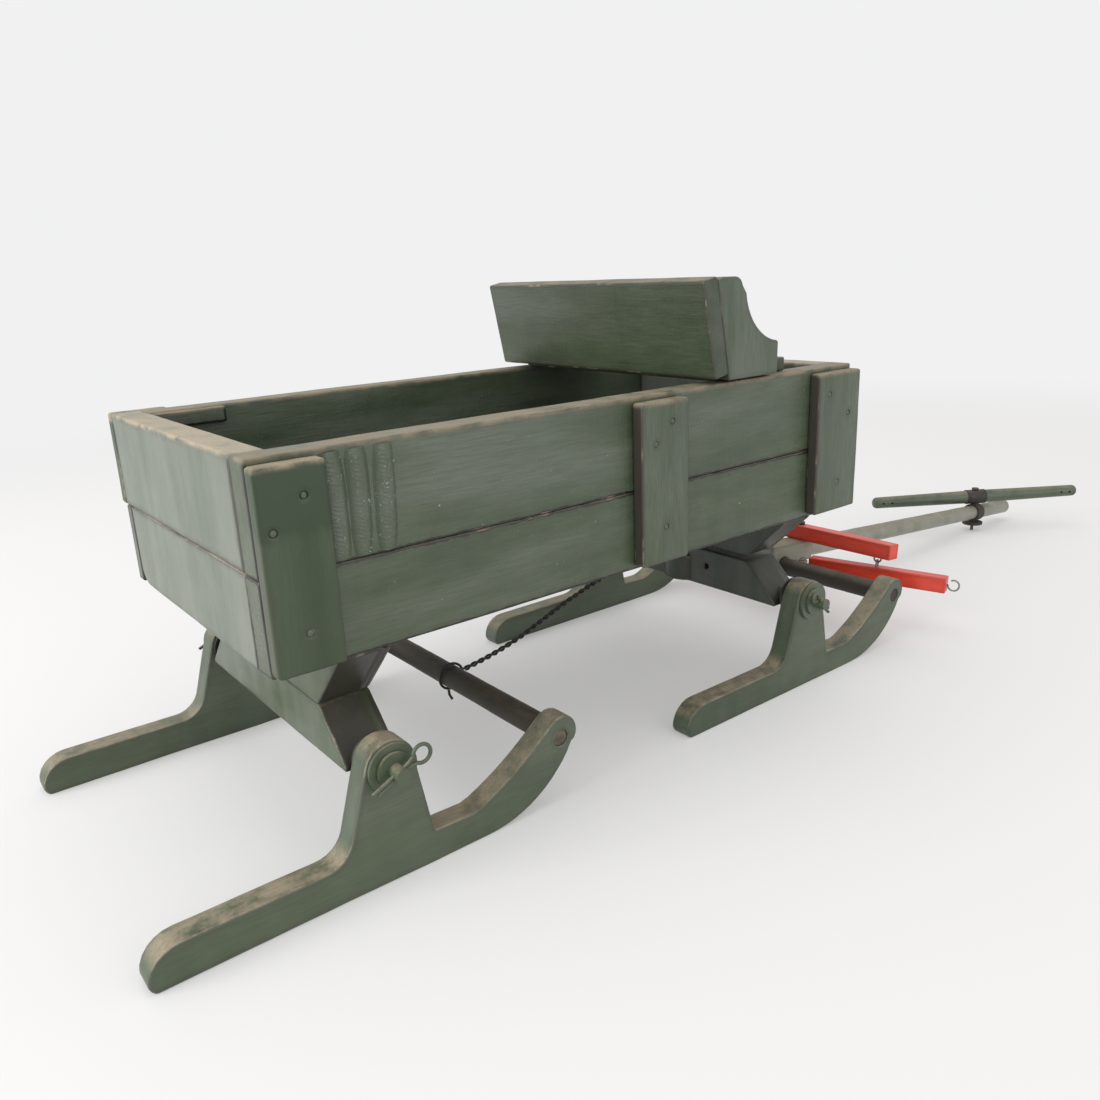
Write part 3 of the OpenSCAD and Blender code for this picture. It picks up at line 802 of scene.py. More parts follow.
@dataclass
class SawnMesh:
    """Turns prisms into one mesh with eased edges and a hand-planed surface."""

    axis: Axis
    turn: Matrix
    ease: float = 1.1 * MM
    hole_ease: float = 0.7 * MM
    step: float = 7 * MM
    unevenness: float = 0.3 * MM
    verts: list[tuple[float, float, float]] = field(default_factory=list)
    faces: list[tuple[int, ...]] = field(default_factory=list)
    near: list[float] = field(default_factory=list)

    def put(self, point: Sequence[float], height: float, away: float) -> int:
        """Adds a vertex.

        Args:
            point: Its place in the outline's plane.
            height: Its place along the axis.
            away: Its distance from the nearest edge.

        Returns:
            Its index.
        """
        place = [0.0, 0.0, 0.0]
        u, v = self.axis.others
        place[u], place[v], place[self.axis.value] = point[0], point[1], height
        self.verts.append(tuple(place))
        self.near.append(max(0.0, 1.0 - away / EDGE_REACH))
        return len(self.verts) - 1

    def add(self, prism: Prism) -> None:
        """Adds a prism's two flats and its rim.

        Args:
            prism: The prism.
        """
        thick = prism.high - prism.low
        ease = min(self.ease, 0.2 * thick)
        loops = [prism.outer] + [hole[::-1] for hole in prism.holes]
        eases = [ease] + [min(ease, self.hole_ease)] * len(prism.holes)
        eased = [eased_loop(loop, cut, self.step) for loop, cut in zip(loops, eases)]
        rings = [inset(points, cut) for (points, _), cut in zip(eased, eases)]
        flat, used = self._flat([p for p, _ in eased], rings, ease)
        away = away_from(np.array([tuple(p) for p in flat]), [p for p, _ in eased])
        ends = []
        for height, order in ((prism.low, -1), (prism.high, 1)):
            ids = [self.put(p, height, a) for p, a in zip(flat, away)]
            self.faces += [tuple(ids[k] for k in tri[::order]) for tri in used]
            ends.append(ids)
        first = 0
        for (points, corner), cut in zip(eased, eases):
            count = len(points)
            half = inset(points, ROUND_SHARE * cut)
            heights = [0.0] + graded(thick - 2 * cut, self.step, True, True) + [thick - 2 * cut]
            rows = [[ends[0][first + i] for i in range(count)]]
            rows.append([self.put(p, prism.low + ROUND_SHARE * cut, 0.0) for p in half])
            for h in heights:
                gap = min(h, thick - 2 * cut - h)
                rows.append([self.put(p, prism.low + cut + h, min(gap, c)) for p, c in zip(points, corner)])
            rows.append([self.put(p, prism.high - ROUND_SHARE * cut, 0.0) for p in half])
            rows.append([ends[1][first + i] for i in range(count)])
            for lower, upper in zip(rows, rows[1:]):
                for i in range(count):
                    j = (i + 1) % count
                    self.faces.append((lower[i], lower[j], upper[j], upper[i]))
            first += count

    def _flat(self, loops: Sequence[Loop], rings: Sequence[Loop], ease: float) -> tuple[list, list]:
        """Fills the flat side with triangles.

        Args:
            loops: The outline and its holes.
            rings: The same, inset by the easing.
            ease: The easing.

        Returns:
            Points, the rings' first, and triangles.
        """
        fixed = [p for ring in rings for p in ring]
        edges, first = [], 0
        for ring in rings:
            edges += [(first + i, first + (i + 1) % len(ring)) for i in range(len(ring))]
            first += len(ring)
        a = np.array([tuple(p) for p in loops[0]])
        low, high = a.min(0), a.max(0)
        cells = np.maximum(1, np.round((high - low) / self.step).astype(int))
        half = (high - low) / cells / 2
        lines = [np.linspace(low[k], high[k], cells[k] + 1)[:-1] + half[k] for k in (0, 1)]
        grid = np.stack(np.meshgrid(*lines), -1).reshape(-1, 2)
        inner = [grid[away_from(grid, loops) > ease + 4.2 * MM]] if len(grid) else []
        for depth in NEAR_BANDS:
            for loop in loops:
                band = np.array([tuple(p) for p in inset(loop, ease + depth)])
                inner.append(band[away_from(band, loops) > ease + 0.9 * depth])
        loose = np.concatenate(inner)
        loose = loose[within(loose, rings[0])] if len(loose) else loose
        points = fixed + [Vector(p) for p in loose]
        verts, _, tris, origin, _, _ = delaunay_2d_cdt(points, edges, [], 0, 1e-7, True)
        centres = np.array([tuple((verts[t[0]] + verts[t[1]] + verts[t[2]]) / 3) for t in tris])
        keep = within(centres, rings[0])
        for ring in rings[1:]:
            keep &= ~within(centres, ring)
        place = [old[0] if old else None for old in origin]
        for k in {k for t, ok in zip(tris, keep) if ok for k in t if place[k] is None}:
            place[k] = len(points)
            points.append(verts[k])
        return points, [tuple(place[k] for k in t) for t, ok in zip(tris, keep) if ok]

    def finish(self, name: str, seed: int) -> Thing:
        """Makes the object.

        Args:
            name: The piece's name.
            seed: What makes its unevenness its own.

        Returns:
            The object, at the origin.
        """
        mesh = bpy.data.meshes.new(name)
        mesh.from_pydata(self.verts, [], self.faces)
        mesh.transform(self.turn)
        offset = seed * SEED_STEP
        normals = [v.normal.copy() for v in mesh.vertices]
        for vert, normal in zip(mesh.vertices, normals):
            slow = noise.noise(vert.co * SLOW_WAVES + offset)
            quick = noise.noise(vert.co * QUICK_WAVES + offset)
            vert.co += normal * self.unevenness * (slow + 0.4 * quick)
        mesh.attributes.new(EDGE_ATTRIBUTE, "FLOAT", "POINT").data.foreach_set("value", self.near)
        mesh.polygons.foreach_set("use_smooth", [True] * len(mesh.polygons))
        mesh.update()
        return bpy.data.objects.new(name, mesh)


# ---- Geometry Nodes ----------------------------------------------------------


class Workshop(Enum):
    """The Geometry Nodes trees."""

    ROUND_BAR = "round bar"
    TWISTED_WIRE = "twisted wire"
    NAIL_HEADS = "nail heads"
    PAINT_RUNS = "paint runs"


class TreeMaker:
    """Builds each tree once and applies it to guide points."""

    def __init__(self) -> None:
        """Starts with no tree built."""
        self._made: dict[Workshop, bpy.types.NodeTree] = {}

    def start(self, name: str, inputs: dict[str, float]) -> tuple:
        """Starts a tree with a geometry input, float inputs and a material input.

        Args:
            name: The tree's name.
            inputs: Name to default of each float input.

        Returns:
            The bench and the group's given sockets.
        """
        tree = bpy.data.node_groups.new(name, "GeometryNodeTree")
        tree.interface.new_socket("Geometry", in_out="INPUT", socket_type="NodeSocketGeometry")
        for label, default in inputs.items():
            tree.interface.new_socket(label, in_out="INPUT", socket_type=FLOAT).default_value = default
        tree.interface.new_socket("Material", in_out="INPUT", socket_type="NodeSocketMaterial")
        tree.interface.new_socket("Geometry", in_out="OUTPUT", socket_type="NodeSocketGeometry")
        bench = NodeBench(tree)
        return bench, bench.add("NodeGroupInput").outputs

    def end(self, bench: NodeBench, given: Sockets, result: Socket) -> bpy.types.NodeTree:
        """Ends a tree with smooth shading, realised instances and its material.

        Args:
            bench: The tree's bench.
            given: The group's given sockets.
            result: The geometry so far.

        Returns:
            The finished tree.
        """
        real = bench.out("GeometryNodeRealizeInstances", {0: result})
        smooth = bench.out("GeometryNodeSetShadeSmooth", {"Geometry": real})
        dressed = bench.out("GeometryNodeSetMaterial", {"Geometry": smooth, "Material": given["Material"]})
        bench.add("NodeGroupOutput", {0: dressed})
        return bench.tree

    def swept(self, bench: NodeBench, curve: object, profile: object, radius: object) -> Socket:
        """A profile swept along a curve, scaled by a radius, with closed ends."""
        return bench.out("GeometryNodeCurveToMesh", {
            "Curve": curve, "Profile Curve": profile, "Scale": radius, "Fill Caps": True})

    def round_bar(self) -> bpy.types.NodeTree:
        """A turned bar along each run, tapering, with eased ends.

        Returns:
            The tree.
        """
        bench, given = self.start("round bar", {
            "Start Radius": 0.01, "End Radius": 0.01, "Ease": 0.002, "Unevenness": 0.0003})
        curve = bench.out("GeometryNodeMeshToCurve", {0: given["Geometry"]})
        curve = bench.out("GeometryNodeResampleCurve", {"Curve": curve, "Count": BAR_STATIONS})
        spline = bench.add("GeometryNodeSplineParameter")
        whole = bench.out("GeometryNodeSplineLength")
        along = spline.outputs["Length"]
        end = bench.least(along, bench.sub(whole, along))
        dome = bench.sub(1.0, bench.least(bench.div(end, given["Ease"]), 1.0))
        dome = bench.math("SQRT", bench.sub(1.0, bench.mul(dome, dome)))
        taper = bench.out("ShaderNodeMapRange", {
            0: spline.outputs["Factor"], 3: given["Start Radius"], 4: given["End Radius"]})
        curve = bench.out("GeometryNodeStoreNamedAttribute", {
            "Geometry": curve, "Name": EDGE_ATTRIBUTE,
            "Value": bench.most(0.0, bench.sub(1.0, bench.div(end, EDGE_REACH)))}, data_type="FLOAT")
        ease = given["Ease"]
        radius = bench.sub(taper, bench.mul(ease, bench.sub(1.0, dome)))
        profile = bench.out("GeometryNodeCurvePrimitiveCircle", {"Resolution": BAR_SIDES, "Radius": 1.0})
        bar = self.swept(bench, curve, profile, radius)
        place = bench.out("GeometryNodeInputPosition")
        cloud = bench.sub(bench.cloud(place, 35.0, 2.0), 0.5)
        push = bench.add("ShaderNodeVectorMath", operation="SCALE")
        bench.set(push.inputs[0], bench.out("GeometryNodeInputNormal"))
        bench.set(push.inputs["Scale"], bench.mul(cloud, bench.mul(given["Unevenness"], 2.0)))
        bar = bench.out("GeometryNodeSetPosition", {"Geometry": bar, "Offset": push.outputs[0]})
        return self.end(bench, given, bar)

    def twisted_wire(self) -> bpy.types.NodeTree:
        """Two strands laid round each other along each run, or one where the spread is 0.

        Returns:
            The tree.
        """
        bench, given = self.start("twisted wire", {
            "Strand Radius": 0.001, "Spread": 0.0, "Lay Length": 0.01, "Step": 0.001})
        curve = bench.out("GeometryNodeMeshToCurve", {0: given["Geometry"]})
        curve = bench.out("GeometryNodeResampleCurve", {
            "Curve": curve, "Length": given["Step"]}, mode="LENGTH")
        along = bench.add("GeometryNodeSplineParameter").outputs["Length"]
        turns = bench.mul(bench.div(along, given["Lay Length"]), math.tau)
        curve = bench.out("GeometryNodeSetCurveTilt", {"Curve": curve, "Tilt": turns})
        strand = bench.out("GeometryNodeCurvePrimitiveCircle", {
            "Resolution": WIRE_SIDES, "Radius": given["Strand Radius"]})
        pair = bench.add("GeometryNodeJoinGeometry")
        for side in (1.0, -1.0):
            shift = bench.out("ShaderNodeCombineXYZ", {0: bench.mul(given["Spread"], side)})
            moved = bench.out("GeometryNodeTransform", {"Geometry": strand, "Translation": shift})
            bench.tree.links.new(moved, pair.inputs[0])
        double = bench.math("GREATER_THAN", given["Spread"], 0.0)
        chosen = bench.out("GeometryNodeSwitch", {
            "Switch": double, "False": strand, "True": pair.outputs[0]}, input_type="GEOMETRY")
        return self.end(bench, given, self.swept(bench, curve, chosen, 1.0))

    def nail_heads(self) -> bpy.types.NodeTree:
        """A domed head on each guide point.

        Returns:
            The tree.
        """
        bench, given = self.start("nail heads", {"Head Radius": 0.0024, "Dome": 0.0012})
        ball = bench.out("GeometryNodeMeshUVSphere", {"Segments": 16, "Rings": 8, "Radius": 1.0})
        size = bench.out("ShaderNodeCombineXYZ", {
            0: given["Head Radius"], 1: given["Dome"], 2: given["Head Radius"]})
        head = bench.out("GeometryNodeTransform", {"Geometry": ball, "Scale": size})
        vary = bench.add("FunctionNodeRandomValue", {2: 0.8, 3: 1.1, "Seed": 11}, data_type="FLOAT")
        heads = bench.out("GeometryNodeInstanceOnPoints", {
            "Points": given["Geometry"], "Instance": head, "Scale": vary.outputs[1]})
        return self.end(bench, given, heads)

    def paint_runs(self) -> bpy.types.NodeTree:
        """A broad, rippled run of thick paint down each guide line, flattened onto a board.

        Returns:
            The tree.
        """
        bench, given = self.start("paint runs", {
            "Run Radius": 0.008, "Ripple": 0.0026, "Rise": 0.2, "Board": 0.0})
        curve = bench.out("GeometryNodeMeshToCurve", {0: given["Geometry"]})
        curve = bench.out("GeometryNodeResampleCurve", {"Curve": curve, "Length": 0.0005}, mode="LENGTH")
        spline = bench.add("GeometryNodeSplineParameter")
        place = bench.out("GeometryNodeInputPosition")
        fade = bench.math("POWER", bench.math("SINE", bench.muladd(spline.outputs["Factor"], 2.9, 0.12)), 0.1)
        swell = bench.muladd(bench.cloud(place, 40.0, 2.0), 0.3, 0.85)
        radius = bench.mul(bench.mul(swell, fade), given["Run Radius"])
        profile = bench.out("GeometryNodeCurvePrimitiveCircle", {"Resolution": RUN_SIDES, "Radius": 1.0})
        run = self.swept(bench, curve, profile, radius)
        spot = bench.add("ShaderNodeSeparateXYZ", {0: place})
        wander = bench.muladd(bench.cloud(place, 110.0, 3.0), 11.0, bench.mul(spot.outputs[0], 1100.0))
        turns = bench.div(spot.outputs[2], given["Ripple"])
        waves = bench.math("SINE", bench.muladd(turns, math.tau, wander))
        rise = bench.mul(given["Rise"], bench.muladd(waves, 0.12, 1.0))
        proud = bench.sub(spot.outputs[1], given["Board"])
        share = bench.div(proud, given["Run Radius"])
        stand = bench.mul(bench.mul(proud, rise), bench.mul(share, share))
        flat = bench.out("ShaderNodeCombineXYZ", {
            0: spot.outputs[0], 1: bench.plus(stand, given["Board"]), 2: spot.outputs[2]})
        run = bench.out("GeometryNodeSetPosition", {"Geometry": run, "Position": flat})
        return self.end(bench, given, run)

    def apply(self, kind: Workshop, name: str, runs: Runs, material: bpy.types.Material,
              **sizes: float) -> Thing:
        """Runs a tree on guide lines or points, and makes its result a plain mesh.

        Args:
            kind: Which tree.
            name: The new piece's name.
            runs: Guide lines. A run of one point is a loose point.
            material: What the tree sets.
            sizes: The tree's inputs, with underscores for spaces.

        Returns:
            The new object, at the origin.
        """
        if kind not in self._made:
            self._made[kind] = getattr(self, kind.name.lower())()
        tree = self._made[kind]
        verts, edges = [], []
        for run in runs:
            edges += [(len(verts) + i, len(verts) + i + 1) for i in range(len(run) - 1)]
            verts += [tuple(p) for p in run]
        mesh = bpy.data.meshes.new(name + "_guide")
        mesh.from_pydata(verts, edges, [])
        guide = bpy.data.objects.new(name + "_guide", mesh)
        place_in_scene(guide)
        modifier = guide.modifiers.new(kind.value, "NODES")
        modifier.node_group = tree
        keys = {s.name: s.identifier for s in tree.interface.items_tree if s.in_out == "INPUT"}
        for label, value in sizes.items():
            modifier[keys[label.replace("_", " ").title()]] = value
        modifier[keys["Material"]] = material
        graph = bpy.context.evaluated_depsgraph_get()
        made = bpy.data.meshes.new_from_object(
            guide.evaluated_get(graph), preserve_all_data_layers=True, depsgraph=graph)
        guide.modifiers.remove(modifier)
        bpy.data.objects.remove(guide)
        made.name = name
        return bpy.data.objects.new(name, made)


# ---- the shop ----------------------------------------------------------------


class Shop:
    """Builds, dresses and mounts the pieces on the CAD bodies."""

    def __init__(self, frame: dict) -> None:
        """Takes the loaded frame.
        """
        self.nodes = frame["nodes"]
        groups = frame["record"]["behaviour"]["bodies"]
        self.body = {node: body for body, members in groups.items() for node in members}
        self.finishes = Finishes()
        self.trees = TreeMaker()
        self.count = 0

    def mount(self, obj: Thing, finish: str, nodes: Iterable[str], body: str | None = None) -> Thing:
        """Puts a finished piece on its body in place of its CAD nodes.

        Args:
            obj: The piece.
            finish: Its finish's name.
            nodes: The CAD nodes that it stands for.
            body: Its body, where it stands for no node.

        Returns:
            The piece.
        """
        nodes = list(nodes)
        place_in_scene(obj)
        if not obj.data.materials:
            obj.data.materials.append(self.finishes.get(finish))
        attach(obj, body or self.body[nodes[0]])
        if nodes:
            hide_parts(*nodes)
        self.count += 1
        LOG.info("%s: %s, %d faces", obj.name, finish, len(obj.data.polygons))
        return obj

    def saw(self, node: str, axis: Axis, finish: str, turn: Matrix | None = None, holes: bool = False,
            **sizes: float) -> Thing:
        """Rebuilds a sawn piece from its CAD node.

        Args:
            node: The CAD node.
            axis: The axis that its sides run along.
            finish: Its finish's name.
            turn: Its own frame, where it stands askew.
            holes: Whether its through holes are kept.
            sizes: Fields of SawnMesh to change.

        Returns:
            The piece.
        """
        turn = turn or Matrix.Identity(4)
        sawn = SawnMesh(axis, turn, **sizes)
        for prism in read_prisms(self.nodes[node], axis, turn):
            if not holes:
                prism.holes = []
            sawn.add(prism)
        return self.mount(sawn.finish(node + "_sawn", self.count), finish, [node])

    def shape(self, kind: Workshop, name: str, runs: Runs, finish: str, **sizes: float) -> Thing:
        """Shapes part of a piece with a Geometry Nodes tree."""
        return self.trees.apply(kind, name, runs, self.finishes.get(finish), **sizes)

    def grow(self, kind: Workshop, name: str, runs: Runs, finish: str, nodes: Iterable[str] = (),
             body: str | None = None, **sizes: float) -> Thing:
        """Makes a whole piece with a Geometry Nodes tree, and mounts it."""
        return self.mount(self.shape(kind, name, runs, finish, **sizes), finish, nodes, body)

    def dress(self, finish: str, *nodes: str) -> None:
        """Gives CAD nodes that stay as they are their finish.

        Args:
            finish: The finish's name.
            nodes: The CAD nodes.
        """
        for name in nodes:
            node = self.nodes[name]
            node.data.materials.clear()
            node.data.materials.append(self.finishes.get(finish))
            LOG.info("%s: dressed in %s", name, finish)


# ---- the sled ----------------------------------------------------------------


def middle(node: str) -> Vector:
    """The centre of a CAD node's box."""
    low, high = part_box(node)
    return (low + high) / 2


@dataclass
class WagonBox:
    """The two-board box with its battens, floor and bolsters."""

    soft_ease: float = 1.6 * MM
    nail_width: float = 6 * MM
    run_spots: tuple[float, ...] = (50 * MM, 65 * MM, 83 * MM)
    run_radius: float = 7.4 * MM
    run_ripple: float = 2.5 * MM
    run_rise: float = 0.34

    def build(self, shop: Shop) -> None:
        """Builds and dresses the box.

        Args:
            shop: Where it is built.
        """
        for side in ("right", "left"):
            for level in ("upper", "lower"):
                shop.saw(f"{side}_{level}_side_board", Axis.Z, "side_green")
        shop.saw("rear_upper_end_board", Axis.Z, "end_green_lit", ease=self.soft_ease)
        shop.saw("rear_lower_end_board", Axis.X, "end_green_lit")
        for level in ("upper", "lower"):
            shop.saw(f"front_{level}_end_board", Axis.Z, "end_green_lit")
        shop.saw("floor_boards", Axis.Z, "floor_dark")
        for side in ("right", "left"):
            for place in ("rear", "middle", "front"):
                finish = "corner_green" if place == "rear" else "upright_green"
                shop.saw(f"{side}_{place}_batten", Axis.Y, finish, holes=True, ease=self.soft_ease)
        shop.saw("left_corner_cleat", Axis.Z, "side_green")
        for node, finish in (("rear_bolster", "bolster_green"), ("rear_beam", "bolster_green"),
                             ("front_bolster", "beam_green")):
            shop.saw(node, Axis.X, finish, ease=BEAM_EASE)
        self.nails(shop)
        self.runs(shop)

    def nails(self, shop: Shop) -> None:
        """Puts a painted head on each nail.

        Args:
            shop: Where it is built.
        """
        low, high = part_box("batten_nails")
        heads: list[list[Vector]] = []
        for vert in shop.nodes["batten_nails"].data.vertices:
            face = low.y if vert.co.y < 0 else high.y
            if abs(vert.co.y - face) < 0.1 * MM:
                near = next((head for head in heads if (head[0] - vert.co).length < self.nail_width), None)
                if near is None:
                    heads.append([vert.co.copy()])
                else:
                    near.append(vert.co.copy())
        points = [[sum(head, Vector()) / len(head)] for head in heads]
        shop.grow(Workshop.NAIL_HEADS, "nail_heads", points, "washer_green", ["batten_nails"])

    def runs(self, shop: Shop) -> None:
        """Lays the thick paint runs beside the right rear batten.

        Args:
            shop: Where it is built.
        """
        low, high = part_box("right_upper_side_board")
        top, foot = high.z - 3.5 * MM, low.z + 1.5 * MM
        lines = []
        for i, x in enumerate(self.run_spots):
            lines.append([Vector((low.x + x + 1.5 * MM * math.sin(2 * t + i), low.y, top + (foot - top) * t))
                          for t in RUN_STOPS])
        shop.grow(Workshop.PAINT_RUNS, "paint_runs", lines, "run_green", body="wagon_box",
                  run_radius=self.run_radius, ripple=self.run_ripple, rise=self.run_rise, board=low.y)


@dataclass
class Seat:
    """The lift-off seat."""

    ease: float = 1.4 * MM

    def build(self, shop: Shop) -> None:
        """Builds and dresses the seat.

        Args:
            shop: Where it is built.
        """
        shop.saw("seat_back", Axis.Y, "seat_green", ease=self.ease)
        shop.saw("seat_plank", Axis.Z, "seat_green", ease=self.ease)
        for side in ("right", "left"):
            shop.saw(f"seat_{side}_panel", Axis.Y, "panel_green", ease=self.ease)


@dataclass(frozen=True)
class Cotter:
    """A cotter pin's way and sizes."""

    tilt: float
    shank: float
    neck: float
    eye: float


@dataclass
class Bobs:
    """Beams, axles, runners and crossbars."""

    tenon_radius: float = 6.4 * MM
    cotter_wire: float = 1.35 * MM
    eye_turn: float = 2.7
    rear_cotter: Cotter = Cotter(math.radians(25), 21 * MM, 12 * MM, 6.3 * MM)
    front_cotter: Cotter = Cotter(math.radians(140), 16 * MM, 6.8 * MM, 3.6 * MM)

    def build(self, shop: Shop) -> None:
        """Builds and dresses both bobs.

        Args:
            shop: Where it is built.
        """
        shop.saw("front_beam", Axis.X, "beam_green", ease=BEAM_EASE, holes=True)
        shop.saw("kingpin_block", Axis.Z, "beam_green", ease=BEAM_EASE)
        for end in ("rear", "front"):
            for side in ("right", "left"):
                shop.saw(f"{end}_{side}_runner", Axis.Y, "runner_green", holes=True, ease=BEAM_EASE)
            self.crossbar(shop, end)
            self.cotters(shop, end)
            shop.dress("black_iron", f"{end}_inner_washers")
            shop.dress("washer_green", f"{end}_large_washers", f"{end}_small_washers", f"{end}_axle_rod")
        shop.dress("black_iron", "kingpin", "kingpin_nut")

    def crossbar(self, shop: Shop, end: str) -> None:
        """Turns the round bar between two runners, with its tenons.

        Args:
            shop: Where it is built.
            end: Its end of the sled, rear or front.
        """
        low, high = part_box(f"{end}_crossbar")
        centre = middle(f"{end}_crossbar")
        radius = (high.z - low.z) / 2
        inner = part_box(f"{end}_left_runner")[0].y
        runs = [[Vector((centre.x, -inner, centre.z)), Vector((centre.x, inner, centre.z))]]
        bar = shop.shape(Workshop.ROUND_BAR, f"{end}_crossbar_turned", runs, "bar_brown",
                         start_radius=radius, end_radius=radius, ease=0.3 * MM, unevenness=0.35 * MM)
        tenons = [[Vector((centre.x, side * y, centre.z)) for y in (inner - 2 * MM, high.y)]
                  for side in (-1, 1)]
        ends = shop.shape(Workshop.ROUND_BAR, f"{end}_tenons", tenons, "bar_brown",
                          start_radius=self.tenon_radius, end_radius=self.tenon_radius, ease=0.6 * MM,
                          unevenness=0.1 * MM)
        joined = join(f"{end}_crossbar_turned", [bar, ends])
        shop.mount(joined, "bar_brown", [f"{end}_crossbar"])

    def cotters(self, shop: Shop, end: str) -> None:
        """Bends the doubled wire pins through the axle's ends.

        Args:
            shop: Where it is built.
            end: Its end of the sled, rear or front.
        """
        centre = middle(f"{end}_axle_rod")
        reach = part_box(f"{end}_cotter_pins")[1].y - 1.6 * MM
        pin = self.rear_cotter if end == "rear" else self.front_cotter
        ahead = Vector((math.cos(pin.tilt), 0, math.sin(pin.tilt)))
        above = Vector((-ahead.z, 0, ahead.x))
        spread = above * self.cotter_wire * 1.02
        runs = []
        for side in (-1, 1):
            root = Vector((centre.x, side * reach, centre.z))
            eye = root + ahead * (pin.neck + pin.eye)
            ring = [eye + (ahead * math.cos(a) + above * math.sin(a)) * pin.eye
                    for a in np.linspace(self.eye_turn, -self.eye_turn, 25)]
            fork = root + ahead * 0.67 * pin.neck
            upper = [root - ahead * pin.shank + spread, root + spread, fork + spread]
            lower = [fork - spread, root - spread, root - ahead * (pin.shank - 3 * MM) - spread]
            runs.append(upper + ring + lower)
        shop.grow(Workshop.TWISTED_WIRE, f"{end}_cotters_bent", runs, "washer_green", [f"{end}_cotter_pins"],
                  strand_radius=self.cotter_wire, spread=0.0, step=0.8 * MM)


def join(name: str, parts: Sequence[Thing]) -> Thing:
    """Makes one object of several that aren't in the scene.

    Args:
        name: The new object's name.
        parts: The objects, all at the origin.

    Returns:
        The joined object.
    """
    bm = bmesh.new()
    for part in parts:
        bm.from_mesh(part.data)
    mesh = bpy.data.meshes.new(name)
    bm.to_mesh(mesh)
    bm.free()
    for material in parts[0].data.materials:
        mesh.materials.append(material)
    return bpy.data.objects.new(name, mesh)


@dataclass
class ReachLink:
    """The twisted wire between the rear crossbar and the kingpin."""

    strand: float = 1.15 * MM
    lay: float = 15 * MM
    slack: float = 0.6 * MM
    bar_radius: float = 9.5 * MM
    eye_half: float = 6.2 * MM
    route: tuple[tuple[float, float], ...] = (
        (14, 2), (40, 6), (68, 12.5), (94, 21), (120, 30.5), (150, 39.5), (192, 50.5), (232, 57.5),
        (260, 60.8))
    eye: tuple[tuple[float, float], ...] = ((264, 61), (282, 61), (298, 61))

    def build(self, shop: Shop) -> None:
        """Lays the link as one doubled wire.

        Args:
            shop: Where it is built.
        """
        bar = middle("rear_crossbar")
        root = Vector((bar.x, 0, bar.z))
        shank = [root + Vector((x * MM, 0, z * MM)) for x, z in self.route]
        twisted = shop.shape(Workshop.TWISTED_WIRE, "link_shank", [smooth(shank, 6)], "black_iron",
                             strand_radius=self.strand, spread=self.strand * 1.05, lay_length=self.lay,
                             step=0.9 * MM)
        hook_radius = self.bar_radius + self.slack + self.strand
        turns = [root + Vector((hook_radius * math.cos(a), pitch, hook_radius * math.sin(a)))
                 for a, pitch in zip(np.linspace(math.radians(12), math.radians(375), 41),
                                     self.strand * 2.1 * np.linspace(-0.5, 0.5, 41))]
        low = root + Vector((-hook_radius * 0.5, -4 * MM, -hook_radius * 0.87))
        tail = [low, low + Vector((-0.5, -1.2, -3.5)) * MM, low + Vector((1.5, -2, -8)) * MM]
        nose = [root + Vector((x * MM, 0, z * MM)) for x, z in self.eye]
        half = [Vector((0, self.strand, 0)), Vector((0, self.eye_half, 0)), Vector((0, self.eye_half, 0))]
        bend = [nose[2] + self.eye_half * Vector((math.cos(a), -math.sin(a), 0))
                for a in np.linspace(-1.2, 1.2, 9)]
        loop = [p + h for p, h in zip(nose, half)] + bend + [p - h for p, h in zip(nose[::-1], half[::-1])]
        single = shop.shape(Workshop.TWISTED_WIRE, "link_ends", [turns, tail, loop], "black_iron",
                            strand_radius=self.strand, spread=0.0, step=0.9 * MM)
        shop.mount(join("twisted_link", [twisted, single]), "black_iron", ["wire_link"])


def smooth(points: Sequence[Vector], pieces: int) -> list[Vector]:
    """A smooth run through its points.

    Args:
        points: The points it passes.
        pieces: How many parts each gap gets.

    Returns:
        The finer run.
    """
    padded = [2 * points[0] - points[1], *points, 2 * points[-1] - points[-2]]
    run = []
    for a, b, c, d in zip(padded, padded[1:], padded[2:], padded[3:]):
        for k in range(pieces):
            t = k / pieces
            square, cube = 2 * a - 5 * b + 4 * c - d, 3 * b - a - 3 * c + d
            run.append(0.5 * (2 * b + (c - a) * t + square * t * t + cube * t ** 3))
    return run + [points[-1]]


